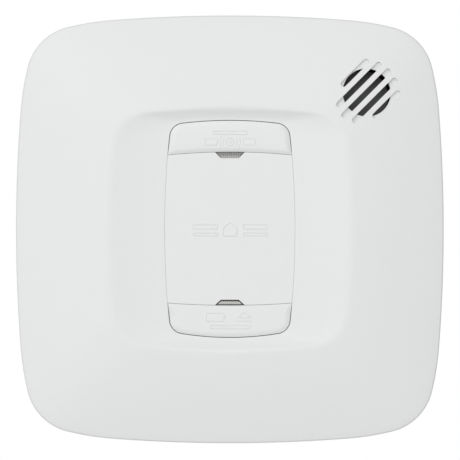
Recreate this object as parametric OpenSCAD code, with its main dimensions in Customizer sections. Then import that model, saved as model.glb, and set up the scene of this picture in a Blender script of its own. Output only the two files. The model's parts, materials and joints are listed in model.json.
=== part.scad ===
// Wall-mounted carbon monoxide detector: a square domed cover, a test button, an eject button and
// a sprung battery drawer on the front, and a twist-off mounting plate at the wall.
// Millimetres. Z is up, the front faces -Y, and the wall is the plane y = 0.
// Every module is laid out lying on its back (x right, y up the face, z away from the wall).
// The upright module then stands it up against the wall.

/* [Overall size] */
// Width and height of the front cover
body_w = 148; // [120:1:180]
// Distance from the wall to the highest line of the front
body_depth = 44; // [42:0.5:54]
// Thickness of the moulded skins
skin = 2.2; // [1.6:0.1:3]
// Height of the cover's rear edge above the wall
cover_edge = 14; // [12:0.5:16]
// How far the cover's side draws in towards the wall
side_draft = 2.2; // [0.5:0.1:3]

/* [Front face] */
// Drop from the ridge to the cover's rim
dome_drop = 7.3; // [4:0.1:9]
// Drop from the ridge to the panel at the bottom of the dish
dish_drop = 2.5; // [1.5:0.1:4]
// Width of the button and panel group at mid height
group_w = 45; // [43:0.5:54]
// Height of the group's top edge above the centre
group_top = 37.7; // [36:0.1:42]
// Depth of the group's bottom edge below the centre
group_bottom = 37.4; // [36:0.1:42]
// Width of the dish's end slopes, from the group to the ridge
ridge_margin = 4.1; // [3:0.1:8]
// Height of the line between the test button and the panel
test_line = 26.7; // [26.5:0.1:29]
// Depth of the line between the panel and the eject button
eject_line = 26.2; // [26:0.1:29]
// Clear gap around the buttons and the panel
face_gap = 0.35; // [0.25:0.05:0.5]
// How far the test button stands out of the panel
test_proud = 0.9; // [0.2:0.1:1.5]

/* [Sounder grille] */
// Radius of the hole behind the grille bars
grille_r = 8.25; // [6:0.25:10]
// Radius at which the grille's grooves end
groove_r = 11.4; // [9:0.1:13]
// Width of one grille slot
slot_w = 1.93; // [1.2:0.05:2.4]
// Distance from one grille slot to the next
slot_pitch = 3.87; // [3.2:0.05:4.4]

/* [Battery drawer] */
// Width of the nine volt battery
battery_w = 26.5; // [24:0.5:30]
// Thickness of the nine volt battery
battery_t = 17.5; // [15:0.5:18.5]
// Length of the battery's body without its snaps
battery_l = 46; // [43:0.5:46]
// Thickness of the drawer's front panel
panel_t = 2.2; // [1.6:0.1:3]

/* [Mounting plate] */
// Radius of the mounting plate
plate_r = 60; // [58:1:66]
// Radius of the cable opening in the mounting plate
cable_r = 30; // [24:1:32]
// Distance between the horizontal pair of screw slots
box_pitch_x = 88.9; // [80:0.1:92]
// Distance between the vertical pair of screw slots
box_pitch_y = 83.3; // [76:0.1:84]
// Twist that frees the alarm from the plate, in degrees
twist = 15; // [10:1:18]

/* [Circuit board] */
// Height of the board's rear face above the wall
board_z = 12.8; // [12:0.1:14]
// Thickness of the board
board_t = 1.6; // [1:0.1:2]

/* [Hidden] */
$fn = 48;

// Heights above the wall
z_ridge = body_depth;
z_face = z_ridge - dish_drop;
z_rim = z_ridge - dome_drop;
z_floor = 4;
floor_t = 2;
z_inside = z_floor + floor_t;
z_board_top = board_z + board_t;
z_panel_back = z_face - panel_t;
z_battery = z_panel_back - 0.3 - battery_t;
z_tray = z_battery - 2.1;
tray_t = 1.8;
z_collar = z_face - 8.5;
z_frame = z_face - 17.9;
frame_t = 1.6;
z_cap = z_face - 2.7;
z_boss = z_inside + 1.6;

// Places on the face
half = body_w / 2;
group_half = group_w / 2;
screw_x = half - 14;
screw_y = 24;
board_half = half - 19;
ridge_x = group_top + ridge_margin;
key_top_y = (test_line + group_top) / 2 - 0.2;
key_low_y = (eject_line + group_bottom) / 2 + 0.2;
test_u = (group_top - test_line) / 11;
eject_u = (group_bottom - eject_line) / 11.2;
led_y = key_top_y - 6.5;
post_x = group_half + 4.5;
horn_xy = half - 26.6;
horn_low = horn_xy - 2.1;
post_reach = sqrt(max(0, 313 - pow(horn_low - post_x, 2)));
post_y = min((group_top + group_bottom) / 2 - 0.55, horn_low - post_reach);
plate_ring = plate_r - 7;
wall_inset = side_draft + skin + 0.6;
part_x = max(board_half - 12, post_x + 14.5);
sensor_y = part_x + 28 - 2 * board_half;
battery_low = 2.2 - eject_line;
battery_top = battery_low + battery_l;

// Samples along one eighth of a loop: side arc, shoulder arc and corner arc
side_n = 3;
shoulder_n = 3;
corner_n = 5;
eighth_n = side_n + shoulder_n + corner_n;

// ---------------------------------------------------------------- outlines

// Points along an arc, without its last point.
function arc(c, r, a0, a1, n) = [
  for (i = [0 : n - 1]) let (a = a0 + (a1 - a0) * i / n) [c[0] + r * cos(a), c[1] + r * sin(a)]
];

// The cover's outline: a long side arc, a shoulder arc and a corner arc, each tangent to the next.
side_r = 525 * body_w / 148;
side_a = 4.48;
shoulder_r = 94.6 * body_w / 148;
shoulder_a = 13.82;
side_c = [half - side_r, 0];
shoulder_c = side_c + (side_r - shoulder_r) * [cos(side_a), sin(side_a)];
corner_step = (shoulder_c[0] - shoulder_c[1]) / (sin(shoulder_a) - cos(shoulder_a));
corner_r = shoulder_r - corner_step;
corner_c = shoulder_c + corner_step * [cos(shoulder_a), sin(shoulder_a)];
eighth = concat(
  arc(side_c, side_r, 0, side_a, side_n),
  arc(shoulder_c, shoulder_r, side_a, shoulder_a, shoulder_n),
  arc(corner_c, corner_r, shoulder_a, 45, corner_n),
  [corner_c + corner_r * [cos(45), sin(45)]]
);
quarter = concat(eighth, [for (i = [eighth_n - 1 : -1 : 1]) [eighth[i][1], eighth[i][0]]]);
outer_loop = concat(
  quarter,
  [for (p = quarter) [-p[1], p[0]]],
  [for (p = quarter) [-p[0], -p[1]]],
  [for (p = quarter) [p[1], -p[0]]]
);

// One quarter of a bowed rectangle, from the middle of its right side to the middle of its top.
// The corner arc touches both bowed sides, so its centre is where two circles meet.
function bowed(hw, hh, rx, ry, rc) =
  let (
    c1 = [hw - rx, 0],
    c2 = [0, hh - ry],
    span = norm(c2 - c1),
    u = (c2 - c1) / span,
    d1 = rx - rc,
    d2 = ry - rc,
    along = (d1 * d1 - d2 * d2 + span * span) / (2 * span),
    across = sqrt(d1 * d1 - along * along),
    c = c1 + along * u + across * [-u[1], u[0]],
    a1 = atan2(c[1] - c1[1], c[0] - c1[0]),
    a2 = atan2(c[1] - c2[1], c[0] - c2[0])
  )
  concat(
    arc(c1, rx, 0, a1, side_n + shoulder_n),
    arc(c, rc, a1, a2, 2 * corner_n),
    arc(c2, ry, a2, 90, side_n + shoulder_n),
    [[0, hh]]
  );

// A whole loop from an upper quarter and a lower quarter.
function whole(up, low) =
  let (n = len(up) - 1)
  concat(
    [for (i = [0 : n - 1]) up[i]],
    [for (i = [n : -1 : 1]) [-up[i][0], up[i][1]]],
    [for (i = [0 : n - 1]) [-low[i][0], -low[i][1]]],
    [for (i = [n : -1 : 1]) [low[i][0], -low[i][1]]]
  );

group_up = bowed(group_half, group_top, 316, 138, 5);
group_low = bowed(group_half, group_bottom, 316, 104, 5);
group_loop = whole(group_up, group_low);
ridge_q = bowed(ridge_x, ridge_x, 280, 280, 13);
ridge_loop = whole(ridge_q, ridge_q);

function edge_normal(a, b) = let (d = b - a, l = norm(d)) [d[1] / l, -d[0] / l];

// A loop moved inwards by d, or outwards when d is negative.
function inset(p, d) =
  let (n = len(p))
  [
    for (i = [0 : n - 1])
      let (
        n1 = edge_normal(p[(i + n - 1) % n], p[i]),
        n2 = edge_normal(p[i], p[(i + 1) % n])
      )
      p[i] - d * (n1 + n2) / (1 + n1 * n2)
  ];

function at(p, z) = [for (q = p) [q[0], q[1], z]];

function mix(p, q, t) = [for (i = [0 : len(p) - 1]) p[i] * (1 - t) + q[i] * t];

// Corner-rounded rectangle, as points.
function rounded(w, h, r, n = 6) = concat(
  arc([w / 2 - r, h / 2 - r], r, 0, 90, n), [[w / 2 - r, h / 2]],
  arc([r - w / 2, h / 2 - r], r, 90, 180, n), [[-w / 2, h / 2 - r]],
  arc([r - w / 2, r - h / 2], r, 180, 270, n), [[r - w / 2, -h / 2]],
  arc([w / 2 - r, r - h / 2], r, 270, 360, n), [[w / 2, r - h / 2]]
);

// Half width of the group's side at height y.
function side_x(y) = group_half - 316 + sqrt(316 * 316 - y * y);

// Lines between the buttons and the panel: shallow arcs that are lowest at their ends.
function test_y(x) = test_line - x * x / 424;
function eject_y(x) = eject_line - x * x / 584;

// A button's outline: 2 n points, first over the outer side, then back along the inner edge.
function button_loop(q, line, bow) =
  let (
    corner_y = line - pow(side_x(line), 2) / bow,
    right = [for (p = q) if (p[1] > corner_y + 2.2) p],
    n = len(right) - 1,
    over = concat(right, [for (i = [n - 1 : -1 : 0]) [-right[i][0], right[i][1]]]),
    m = len(over) - 1,
    w = side_x(corner_y),
    inner = [for (i = [1 : m - 1]) (w - 2.5) * (2 * (i - 1) / (m - 2) - 1)]
  )
  concat(over, [for (x = concat([-w], inner, [w])) [x, line - x * x / bow]]);

test_loop = button_loop(group_up, test_line, 424);
eject_loop = [for (p = button_loop(group_low, eject_line, 584)) [-p[0], -p[1]]];

// The panel's outline between the two buttons.
panel_n = 10;
panel_top_x = side_x(test_line - 1.1);
panel_low_x = side_x(eject_line - 0.8);
function mix_y(t) = test_y(panel_top_x) * t - eject_y(panel_low_x) * (1 - t);
panel_loop = concat(
  [for (i = [0 : panel_n]) let (y = mix_y(i / panel_n)) [side_x(y), y]],
  [for (i = [1 : panel_n - 1]) let (x = panel_top_x * (1 - 2 * i / panel_n)) [x, test_y(x)]],
  [for (i = [panel_n : -1 : 0]) let (y = mix_y(i / panel_n)) [-side_x(y), y]],
  [for (i = [1 : panel_n - 1]) let (x = panel_low_x * (2 * i / panel_n - 1)) [x, -eject_y(x)]]
);

// ---------------------------------------------------------------- building blocks

module upright() {
  rotate([90, 0, 0]) children();
}

module slab(p, z0, z1) {
  translate([0, 0, z0]) linear_extrude(height = z1 - z0) polygon(p);
}

module block(x, y, z) {
  translate([x[0], y[0], z[0]]) cube([x[1] - x[0], y[1] - y[0], z[1] - z[0]]);
}

module rod(x, y, z0, z1, r) {
  translate([x, y, z0]) cylinder(h = z1 - z0, r = r);
}

// A closed skin through a run of rings that ends where it began.
module ring_skin(rings) {
  n = len(rings[0]);
  k = len(rings);
  polyhedron(
    points = [for (r = rings) each r],
    faces = [
      for (j = [0 : k - 1]) for (i = [0 : n - 1])
        let (a = j * n, b = ((j + 1) % k) * n, e = (i + 1) % n)
        each [[a + i, b + i, b + e], [a + i, b + e, a + e]]
    ]
  );
}

// A stack of rings closed by a strip at each end. Point i of a ring faces point n - 1 - i.
module loft(rings) {
  n = len(rings[0]);
  k = len(rings);
  h = n / 2;
  t = (k - 1) * n;
  polyhedron(
    points = [for (r = rings) each r],
    faces = concat(
      [
        for (j = [0 : k - 2]) for (i = [0 : n - 1])
          let (a = j * n, b = a + n, e = (i + 1) % n)
          each [[a + i, b + i, b + e], [a + i, b + e, a + e]]
      ],
      [for (i = [0 : h - 2]) each [[i, i + 1, n - 2 - i], [i, n - 2 - i, n - 1 - i]]],
      [for (i = [0 : h - 2]) each [[t + i + 1, t + i, t + n - 2 - i], [t + n - 2 - i, t + i, t + n - 1 - i]]]
    )
  );
}

// A round wire wound into a helix that stands on z = 0, in as many whole turns as its pitch allows.
module coil(r, wire, len, pitch) {
  turns = max(1, floor((len - 2 * wire) / pitch));
  steps = 14 * turns;
  rise = (len - 2 * wire) / steps;
  points = [
    for (i = [0 : steps]) for (s = [0 : 5])
      let (a = 360 * i / 14, b = 60 * s, q = r + wire * cos(b))
      [q * cos(a), q * sin(a), wire + rise * i + wire * sin(b)]
  ];
  top = 6 * steps;
  polyhedron(
    points = points,
    faces = concat(
      [
        for (i = [0 : steps - 1]) for (s = [0 : 5])
          let (a = 6 * i, e = (s + 1) % 6)
          each [[a + s, a + e, a + 6 + e], [a + s, a + 6 + e, a + 6 + s]]
      ],
      [for (s = [1 : 4]) [0, s + 1, s]],
      [for (s = [1 : 4]) [top, top + s, top + s + 1]]
    )
  );
}

// Places a child square on the dome, at the centre of the grille.
ridge_diag = norm(ridge_q[side_n + shoulder_n + corner_n]);
outer_diag = norm(eighth[eighth_n]);
horn_s = (horn_xy * sqrt(2) - ridge_diag) / (outer_diag - ridge_diag);
dome_a = 0.655 * dome_drop;
dome_b = 0.345 * dome_drop;
horn_tilt = atan((dome_a + 2 * dome_b * horn_s) / (outer_diag - ridge_diag));
function dome_z(s) = z_ridge - dome_a * s - dome_b * s * s;

module on_dome() {
  translate([horn_xy, horn_xy, dome_z(horn_s)]) rotate(a = horn_tilt, v = [-1, 1, 0]) children();
}

// One grille slot with round ends, cut down from above the surface. The tips lie on a circle on
// the corner's side and on an ellipse as wide as the hole on the side of the dish.
module grille_slot(y, depth) {
  out = sqrt(groove_r * groove_r - y * y) - slot_w / 2;
  in = 1.1 * groove_r * sqrt(max(0.04, 1 - pow(y / grille_r, 2))) - slot_w / 2;
  rotate([0, 0, 45]) {
    block([-in, out], [y - slot_w / 2, y + slot_w / 2], [-depth, 2]);
    rod(-in, y, -depth, 2, slot_w / 2);
    rod(out, y, -depth, 2, slot_w / 2);
  }
}

// ---------------------------------------------------------------- wall side

module screw_slot(along_x, pitch, grow, z0, z1) {
  for (s = [-1, 1]) {
    translate(along_x ? [s * pitch / 2, 0, 0] : [0, s * pitch / 2, 0]) rotate([0, 0, along_x ? 0 : 90]) {
      block([-2.75, 2.75], [-2.25 - grow, 2.25 + grow], [z0, z1]);
      rod(-2.75, 0, z0, z1, 2.25 + grow);
      rod(2.75, 0, z0, z1, 2.25 + grow);
    }
  }
}

module ring_sector(r0, r1, a0, a1, z0, z1) {
  rotate([0, 0, a0]) rotate_extrude(angle = a1 - a0) translate([r0, z0]) square([r1 - r0, z1 - z0]);
}

module mounting_plate() {
  color([0.90, 0.90, 0.88])
  upright()
  difference() {
    union() {
      rod(0, 0, 2.2, 3.6, plate_r);
      difference() {
        rod(0, 0, 0, 3.6, plate_r);
        rod(0, 0, -1, 5, plate_r - 2.6);
      }
      rod(0, 0, 0, 3.6, cable_r + 2.4);
      screw_slot(true, box_pitch_x, 2, 0, 3.6);
      screw_slot(false, box_pitch_y, 2, 0, 3.6);
    }
    rod(0, 0, -1, 5, cable_r);
    screw_slot(true, box_pitch_x, 0, -1, 5);
    screw_slot(false, box_pitch_y, 0, -1, 5);
    for (a = [30, 150, 270]) {
      ring_sector(plate_ring - 1.7, plate_ring + 1.7, a - 5, a + twist + 4.6, -1, 5);
      ring_sector(plate_ring - 4.8, plate_ring + 2, a + twist - 5, a + twist + 5, -2, 6);
    }
    for (a = [75 : 120 : 315]) {
      ring_sector(plate_ring - 1.5, plate_ring + 1.5, a - 7, a + 7, -1, 5);
    }
  }
}

// A hook that passes through the plate and turns in behind it.
module bayonet_lug(a) {
  rotate([0, 0, a]) {
    block([plate_ring - 1.4, plate_ring + 1.4], [-4, 4], [0.5, z_floor + 1]);
    block([plate_ring - 4, plate_ring + 1.4], [-4, 4], [0.5, 1.9]);
  }
}

board_posts = [[-board_half + 5, board_half - 5], [23, board_half - 5], [-board_half + 5, 5 - board_half],
  [board_half - 5, 5 - board_half]];

module rear_housing() {
  color([0.88, 0.88, 0.86])
  upright()
  difference() {
    union() {
      slab(inset(outer_loop, wall_inset), z_floor, z_inside);
      difference() {
        slab(inset(outer_loop, wall_inset), z_floor, cover_edge + 5);
        slab(inset(outer_loop, wall_inset + 2), z_inside - 0.5, cover_edge + 6);
      }
      for (x = [-screw_x, screw_x]) for (y = [-screw_y, screw_y]) rod(x, y, z_floor, z_boss, 4.6);
      for (p = board_posts) rod(p[0], p[1], z_floor + 0.5, board_z, 3.4);
      for (a = [30, 150, 270]) bayonet_lug(a);
    }
    for (x = [-screw_x, screw_x]) for (y = [-screw_y, screw_y]) {
      rod(x, y, z_floor - 1, z_floor + 2.2, 3.1);
      rod(x, y, z_floor - 1, z_boss + 1, 1.6);
    }
    for (p = board_posts) rod(p[0], p[1], z_inside + 0.2, board_z + 1, 1.3);
    block([-16, 16], [-10, 10], [z_floor - 1, z_inside + 1]);
    for (a = [0 : 90 : 270]) rotate([0, 0, a]) for (i = [-3 : 3]) {
      block([half - 14, half + 4], [i * 13 - 4.6, i * 13 + 4.6], [z_inside + 2, z_inside + 4.6]);
    }
  }
}

module rating_label() {
  color([0.82, 0.83, 0.84])
  upright()
  rotate([0, 0, 45])
  block([17 - outer_diag, 29 - outer_diag], [-13, 13], [z_floor - 0.2, z_floor]);
}

// A pan-head screw with a cross recess, head down at z = 0 and shank upwards.
module pan_screw(head_r, head_h, shank_r, len) {
  difference() {
    union() {
      cylinder(h = head_h, r = head_r);
      translate([0, 0, head_h - 0.1]) cylinder(h = len + 0.1, r = shank_r);
    }
    block([-head_r * 0.6, head_r * 0.6], [-0.35, 0.35], [-1, 0.9]);
    block([-0.35, 0.35], [-head_r * 0.6, head_r * 0.6], [-1, 0.9]);
  }
}

module housing_screws() {
  color([0.72, 0.72, 0.74])
  upright()
  for (x = [-screw_x, screw_x]) for (y = [-screw_y, screw_y]) {
    translate([x, y, z_floor + 0.5]) pan_screw(2.8, 1.68, 1.25, 14);
  }
}

module power_inlet() {
  color([0.93, 0.92, 0.88])
  upright()
  difference() {
    block([-15.7, 15.7], [-9.7, 9.7], [z_floor + 0.4, board_z - 0.05]);
    block([-14.2, 14.2], [-8.2, 8.2], [z_floor - 1, board_z - 1.6]);
    for (x = [-8, 0, 8]) rod(x, -3, z_floor, board_z + 1, 1.02);
  }
}

module inlet_pins() {
  color([0.80, 0.76, 0.55])
  upright()
  for (x = [-8, 0, 8]) {
    rod(x, -3, z_floor + 1.9, board_z - 0.1, 1);
    translate([x, -3, z_floor + 1.1]) cylinder(h = 0.8, r1 = 0.5, r2 = 1);
  }
}

// ---------------------------------------------------------------- front cover

function dish_z(u) = z_ridge - dish_drop * (1 - pow(1 - u, 1.35));
outer_in = inset(outer_loop, 0.6);
cover_rings = concat(
  [
    at(inset(outer_loop, side_draft), cover_edge),
    at(inset(outer_loop, side_draft * 0.45), cover_edge + 8),
    at(inset(outer_loop, side_draft * 0.1), cover_edge + 16),
    at(outer_loop, z_rim - 0.9),
    at(inset(outer_loop, 0.12), z_rim - 0.3)
  ],
  [for (s = [1, 0.8, 0.6, 0.4, 0.2, 0.04]) at(mix(ridge_loop, outer_in, s), dome_z(s) - 0.02 * (1 - s))],
  [for (u = [0.03, 0.12, 0.3, 0.5, 0.75, 1]) at(mix(ridge_loop, group_loop, u), dish_z(u))],
  [
    at(group_loop, z_collar),
    at(inset(group_loop, -1.6), z_collar),
    at(inset(group_loop, -1.6), z_face - skin),
    at(mix(ridge_loop, group_loop, 0.5), dish_z(0.5) - skin),
    at(ridge_loop, z_ridge - skin)
  ],
  [for (s = [0.3, 0.6, 0.88]) at(mix(ridge_loop, outer_in, s), dome_z(s) - skin)],
  [
    at(inset(outer_loop, skin + 0.3), z_rim - skin - 1.4),
    at(inset(outer_loop, skin + side_draft), cover_edge)
  ]
);

module front_cover() {
  color([0.93, 0.93, 0.92])
  upright()
  difference() {
    union() {
      ring_skin(cover_rings);
      for (x = [-screw_x, screw_x]) for (y = [-screw_y, screw_y]) {
        rod(x, y, z_boss + 0.3, dome_z((screw_x - ridge_x) / (half - ridge_x)) - skin + 0.6, 3.6);
      }
      for (x = [-post_x, post_x]) for (y = [-post_y, post_y]) {
        rod(x, y, z_frame + frame_t + 0.05, z_face - 1, 2.6);
      }
      on_dome() {
        difference() {
          rod(0, 0, -9, -1.5, 16.4);
          rod(0, 0, -10, -1, 15);
        }
      }
    }
    for (x = [-screw_x, screw_x]) for (y = [-screw_y, screw_y]) rod(x, y, z_boss - 1, z_boss + 15, 1.3);
    for (x = [-post_x, post_x]) for (y = [-post_y, post_y]) rod(x, y, z_frame, z_face - 8, 1.05);
    on_dome() {
      rod(0, 0, -6, -1.1, grille_r);
      rod(0, 0, -6, -2.8, 13.6);
      for (i = [-2 : 2]) grille_slot(i * slot_pitch, 1.3);
    }
  }
}

// ---------------------------------------------------------------- buttons

// A bar with round ends, raised 0.2 mm.
module mark_bar(x, y, w, t, z) {
  block([x - w / 2 + t / 2, x + w / 2 - t / 2], [y - t / 2, y + t / 2], [z - 0.5, z + 0.2]);
  for (s = [-1, 1]) rod(x + s * (w - t) / 2, y, z - 0.5, z + 0.2, t / 2);
}

// The plain ring, arcs and bars moulded on the test button.
module sound_mark(z, u) {
  y = key_top_y - 1.7 * u;
  difference() {
    rod(0, y, z - 0.5, z + 0.2, 1.5 * u);
    rod(0, y, z - 1, z + 1, 1.1 * u);
  }
  rod(0, y, z - 0.5, z + 0.2, 0.5 * u);
  for (a = [-32, 148]) for (r = [2.2, 3.3]) {
    translate([0, y, 0]) ring_sector(r * u, (r + 0.4) * u, a, a + 64, z - 0.5, z + 0.2);
  }
  for (s = [-1, 1]) mark_bar(s * 6.6, y, 4.2, u, z);
  mark_bar(0, y + 3.1 * u, 12, 0.8 * u, z);
}

// A battery outline, the triangle and bar of an eject sign, and a bar.
module eject_mark(z, u) {
  y = 1.8 * u - key_low_y;
  difference() {
    block([-8.2, -2.2], [y - 1.4 * u, y + 1.4 * u], [z - 0.5, z + 0.2]);
    block([-7.8, -2.6], [y - u, y + u], [z - 1, z + 1]);
  }
  block([-2.3, -1.6], [y - 0.5 * u, y + 0.5 * u], [z - 0.5, z + 0.2]);
  slab([[2.6, y - 0.2 * u], [7.4, y - 0.2 * u], [5, y + 1.6 * u]], z - 0.5, z + 0.2);
  block([2.6, 7.4], [y - 1.4 * u, y - 0.8 * u], [z - 0.5, z + 0.2]);
  mark_bar(0, y - 3.4 * u, 14, 0.8 * u, z);
}

// Cap with a rolled edge, side skirt, retaining flange and stem. The loop faces outwards in y.
module button_body(loop, side, top, u) {
  face = inset(loop, face_gap);
  loft([
    at(face, z_cap), at(face, top - 0.75), at(inset(face, 0.12), top - 0.35),
    at(inset(face, 0.4), top - 0.1), at(inset(face, 0.9), top)
  ]);
  intersection() {
    difference() {
      union() {
        slab(inset(group_loop, face_gap + 0.1), z_collar - 1.2, z_cap + 0.6);
        slab(inset(group_loop, -1), z_collar - 1.6, z_collar - 0.35);
      }
      slab(inset(group_loop, face_gap + 1.4 * min(1, u)), z_collar - 3, z_cap + 2);
    }
    block([-40, 40], side > 0 ? [test_line + 2.8, 60] : [-60, -eject_line - 3.3], [0, 90]);
  }
}

module test_button() {
  color([0.93, 0.93, 0.92])
  upright() {
    button_body(test_loop, 1, z_face + test_proud, test_u);
    rod(0, key_top_y, z_board_top + 5.62, z_cap + 0.5, 2 * min(1, test_u));
    sound_mark(z_face + test_proud, test_u);
  }
}

module eject_button() {
  color([0.93, 0.93, 0.92])
  upright() {
    button_body(eject_loop, -1, z_face + 0.15, eject_u);
    rod(0, -key_low_y, z_frame - 1.6, z_cap + 0.5, 2 * min(1, eject_u));
    for (x = [-9.5, 9.5]) {
      block([x - 1.8, x + 1.8], [battery_low - 4.4, battery_low - 3], [z_collar + 0.4, z_cap + 0.5]);
    }
    eject_mark(z_face + 0.15, eject_u);
  }
}

module button_spring(y, u) {
  low = z_frame + frame_t + 0.05;
  translate([0, y, low]) coil(3.2 * min(1, u), 0.35 * min(1, u), z_cap - 0.05 - low, 2.1);
}

module test_spring() {
  color([0.75, 0.76, 0.78])
  upright()
  button_spring(key_top_y, test_u);
}

module eject_spring() {
  color([0.75, 0.76, 0.78])
  upright()
  button_spring(-key_low_y, eject_u);
}

module test_switch() {
  color([0.16, 0.16, 0.17])
  upright()
  difference() {
    block([-3.5, 3.5], [key_top_y - 3.5, key_top_y + 3.5], [z_board_top + 0.02, z_board_top + 3.6]);
    rod(0, key_top_y, z_board_top + 0.8, z_board_top + 5, 1.78);
  }
}

module switch_plunger() {
  color([0.85, 0.80, 0.30])
  upright()
  rod(0, key_top_y, z_board_top + 2.6, z_board_top + 5.6, 1.7);
}

// ---------------------------------------------------------------- drawer

// Notches for the two light windows, each wider at its button.
module window_notches(grow) {
  slab([[-3.05 - grow, test_line - 2.1 - grow], [3.05 + grow, test_line - 2.1 - grow],
    [5.1 + grow, test_line + 0.3], [-5.1 - grow, test_line + 0.3]], z_face - 4, z_face + 1);
  slab([[-5.1 - grow, -eject_line - 0.3], [5.1 + grow, -eject_line - 0.3],
    [3.1 + grow, -eject_line + 1.9 + grow], [-3.1 - grow, -eject_line + 1.9 + grow]], z_face - 4, z_face + 1);
}

// A plain house with two bars either side, raised on the panel.
module house_mark(z) {
  difference() {
    slab([[-2.6, -2.4], [2.6, -2.4], [2.6, 0.6], [0, 2.8], [-2.6, 0.6]], z - 0.5, z + 0.2);
    slab([[-2, -1.8], [2, -1.8], [2, 0.4], [0, 2.1], [-2, 0.4]], z - 1, z + 1);
  }
  for (s = [-1, 1]) {
    mark_bar(s * 8.6, 1, 8.4, 1.2, z);
    mark_bar(s * 8.6, -1.6, 8.4, 0.8, z);
  }
}

cheek_x = battery_w / 2 + 0.35;

module battery_drawer() {
  color([0.93, 0.93, 0.92])
  upright()
  difference() {
    union() {
      difference() {
        slab(inset(panel_loop, face_gap / 2), z_panel_back, z_face);
        window_notches(0);
      }
      intersection() {
        slab(inset(panel_loop, 0.5), z_tray, z_tray + tray_t);
        block([-40, 40], [battery_low - 1, battery_top + 2.3], [0, 90]);
      }
      wall_z = [z_tray + 1, z_panel_back + 0.5];
      block([-cheek_x - 1.5, -cheek_x], [battery_low - 0.8, battery_top + 0.8], wall_z);
      block([-cheek_x - 1.5, cheek_x + 1.5], [battery_low - 1.6, battery_low - 0.2], wall_z);
      for (x = [-cheek_x - 1.5, cheek_x - 1.8]) {
        block([x, x + 3.3], [battery_top + 0.3, battery_top + 1.5], wall_z);
      }
      house_mark(z_face);
    }
    block([-5.3, 5.3], [battery_low - 6, battery_low - 0.15], [z_tray - 1, z_panel_back + 0.6]);
    for (x = [-9.5, 9.5]) {
      block([x - 2.4, x + 2.4], [battery_low - 3, battery_low - 0.1], [z_collar - 2.9, z_collar - 0.6]);
    }
  }
}

module battery_body() {
  color([0.20, 0.22, 0.26])
  upright()
  translate([0, battery_top, z_battery + battery_t / 2])
  rotate([90, 0, 0])
  linear_extrude(height = battery_l)
  polygon(rounded(battery_w, battery_t, 2.4));
}

module battery_snaps() {
  color([0.78, 0.78, 0.80])
  upright()
  translate([0, battery_top + 0.02, z_battery + battery_t / 2])
  rotate([-90, 0, 0]) {
    translate([-6.35, 0, 0]) cylinder(h = 1.7, r = 2.5);
    translate([-6.35, 0, 1.2]) cylinder(h = 1.2, r = 2.8);
    difference() {
      translate([6.35, 0, 0]) cylinder(h = 2.4, r = 4);
      translate([6.35, 0, 0.8]) cylinder(h = 3, r = 3);
    }
  }
}

module battery_contacts() {
  color([0.82, 0.80, 0.70])
  upright()
  for (x = [-6.35, 6.35]) {
    block([x - 2.2, x + 2.2], [battery_top + 2.75, battery_top + 3.1], [z_board_top + 0.02, z_collar + 1.5]);
    block([x - 2.2, x + 2.2], [battery_top + 2.75, battery_top + 5], [z_board_top + 0.02, z_board_top + 0.4]);
  }
}

module contact_blocks() {
  color([0.15, 0.15, 0.16])
  upright()
  for (x = [-6.35, 6.35]) {
    block([x - 2.7, x + 2.7], [battery_top + 3.15, battery_top + 6], [z_board_top + 0.45, z_frame - 0.4]);
  }
}

module drawer_springs() {
  color([0.75, 0.76, 0.78])
  upright()
  for (x = [-16, 16]) {
    translate([x, 0, z_board_top + 0.05]) coil(3, 0.35, z_tray - z_board_top - 0.1, 1.3);
  }
}

// Two steel arms joined behind the eject button. Their noses hold the drawer shut.
module drawer_latch() {
  color([0.74, 0.75, 0.77])
  upright() {
    z0 = z_frame + frame_t + 0.05;
    nose = battery_low - 3;
    block([-11.5, 11.5], [-key_low_y - 8, -key_low_y - 5.2], [z0, z0 + 0.6]);
    for (x = [-9.5, 9.5]) {
      block([x - 2, x + 2], [-key_low_y - 6, nose + 0.05], [z0, z0 + 0.6]);
      block([x - 2, x + 2], [nose - 0.55, nose + 0.05], [z0, z_collar]);
      block([x - 2, x + 2], [nose - 0.2, nose + 2], [z_collar - 2.5, z_collar - 1.3]);
    }
  }
}

// Carries the springs, guides the drawer and keeps the buttons in the cover.
module inner_frame() {
  color([0.90, 0.90, 0.88])
  upright()
  difference() {
    union() {
      slab(rounded(2 * post_x + 9, 2 * post_y + 10, 4), z_frame, z_frame + frame_t);
      intersection() {
        slab(inset(group_loop, -1.5), z_tray - 1, z_collar - 0.4);
        block([-40, 40], [-22.5, 22.5], [0, 90]);
      }
    }
    slab(inset(group_loop, -0.1), z_tray - 2, z_frame - 1);
    intersection() {
      slab(inset(group_loop, -0.1), z_frame - 2, z_collar + 1);
      block([-40, 40], [-eject_line - 0.4, test_line - 0.1], [0, 90]);
    }
    rod(0, key_top_y, z_frame - 1, z_frame + 3, 2.3 * min(1, test_u));
    rod(0, -key_low_y, z_frame - 1, z_frame + 3, 2.3 * min(1, eject_u));
    for (x = [-post_x, post_x]) for (y = [-post_y, post_y]) rod(x, y, z_frame - 1, z_frame + 3, 1.3);
  }
}

module frame_screws() {
  color([0.72, 0.72, 0.74])
  upright()
  for (x = [-post_x, post_x]) for (y = [-post_y, post_y]) {
    translate([x, y, z_frame - 1.43]) pan_screw(2.2, 1.4, 1, 8);
  }
}

// ---------------------------------------------------------------- lights

module upper_light_pipe() {
  color([0.86, 0.90, 0.88, 0.8])
  upright() {
    slab([[-2.75, test_line - 1.85], [2.75, test_line - 1.85], [4.6, test_line - 0.1],
      [-4.6, test_line - 0.1]], z_face - 3.6, z_face - 0.5);
    block([-1.6, 1.6], [led_y - 0.65, test_line - 0.5], [z_face - 3.6, z_face - 2.6]);
    block([-1.6, 1.6], [led_y - 0.65, led_y + 0.7], [z_board_top + 3.3, z_face - 3]);
  }
}

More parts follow.
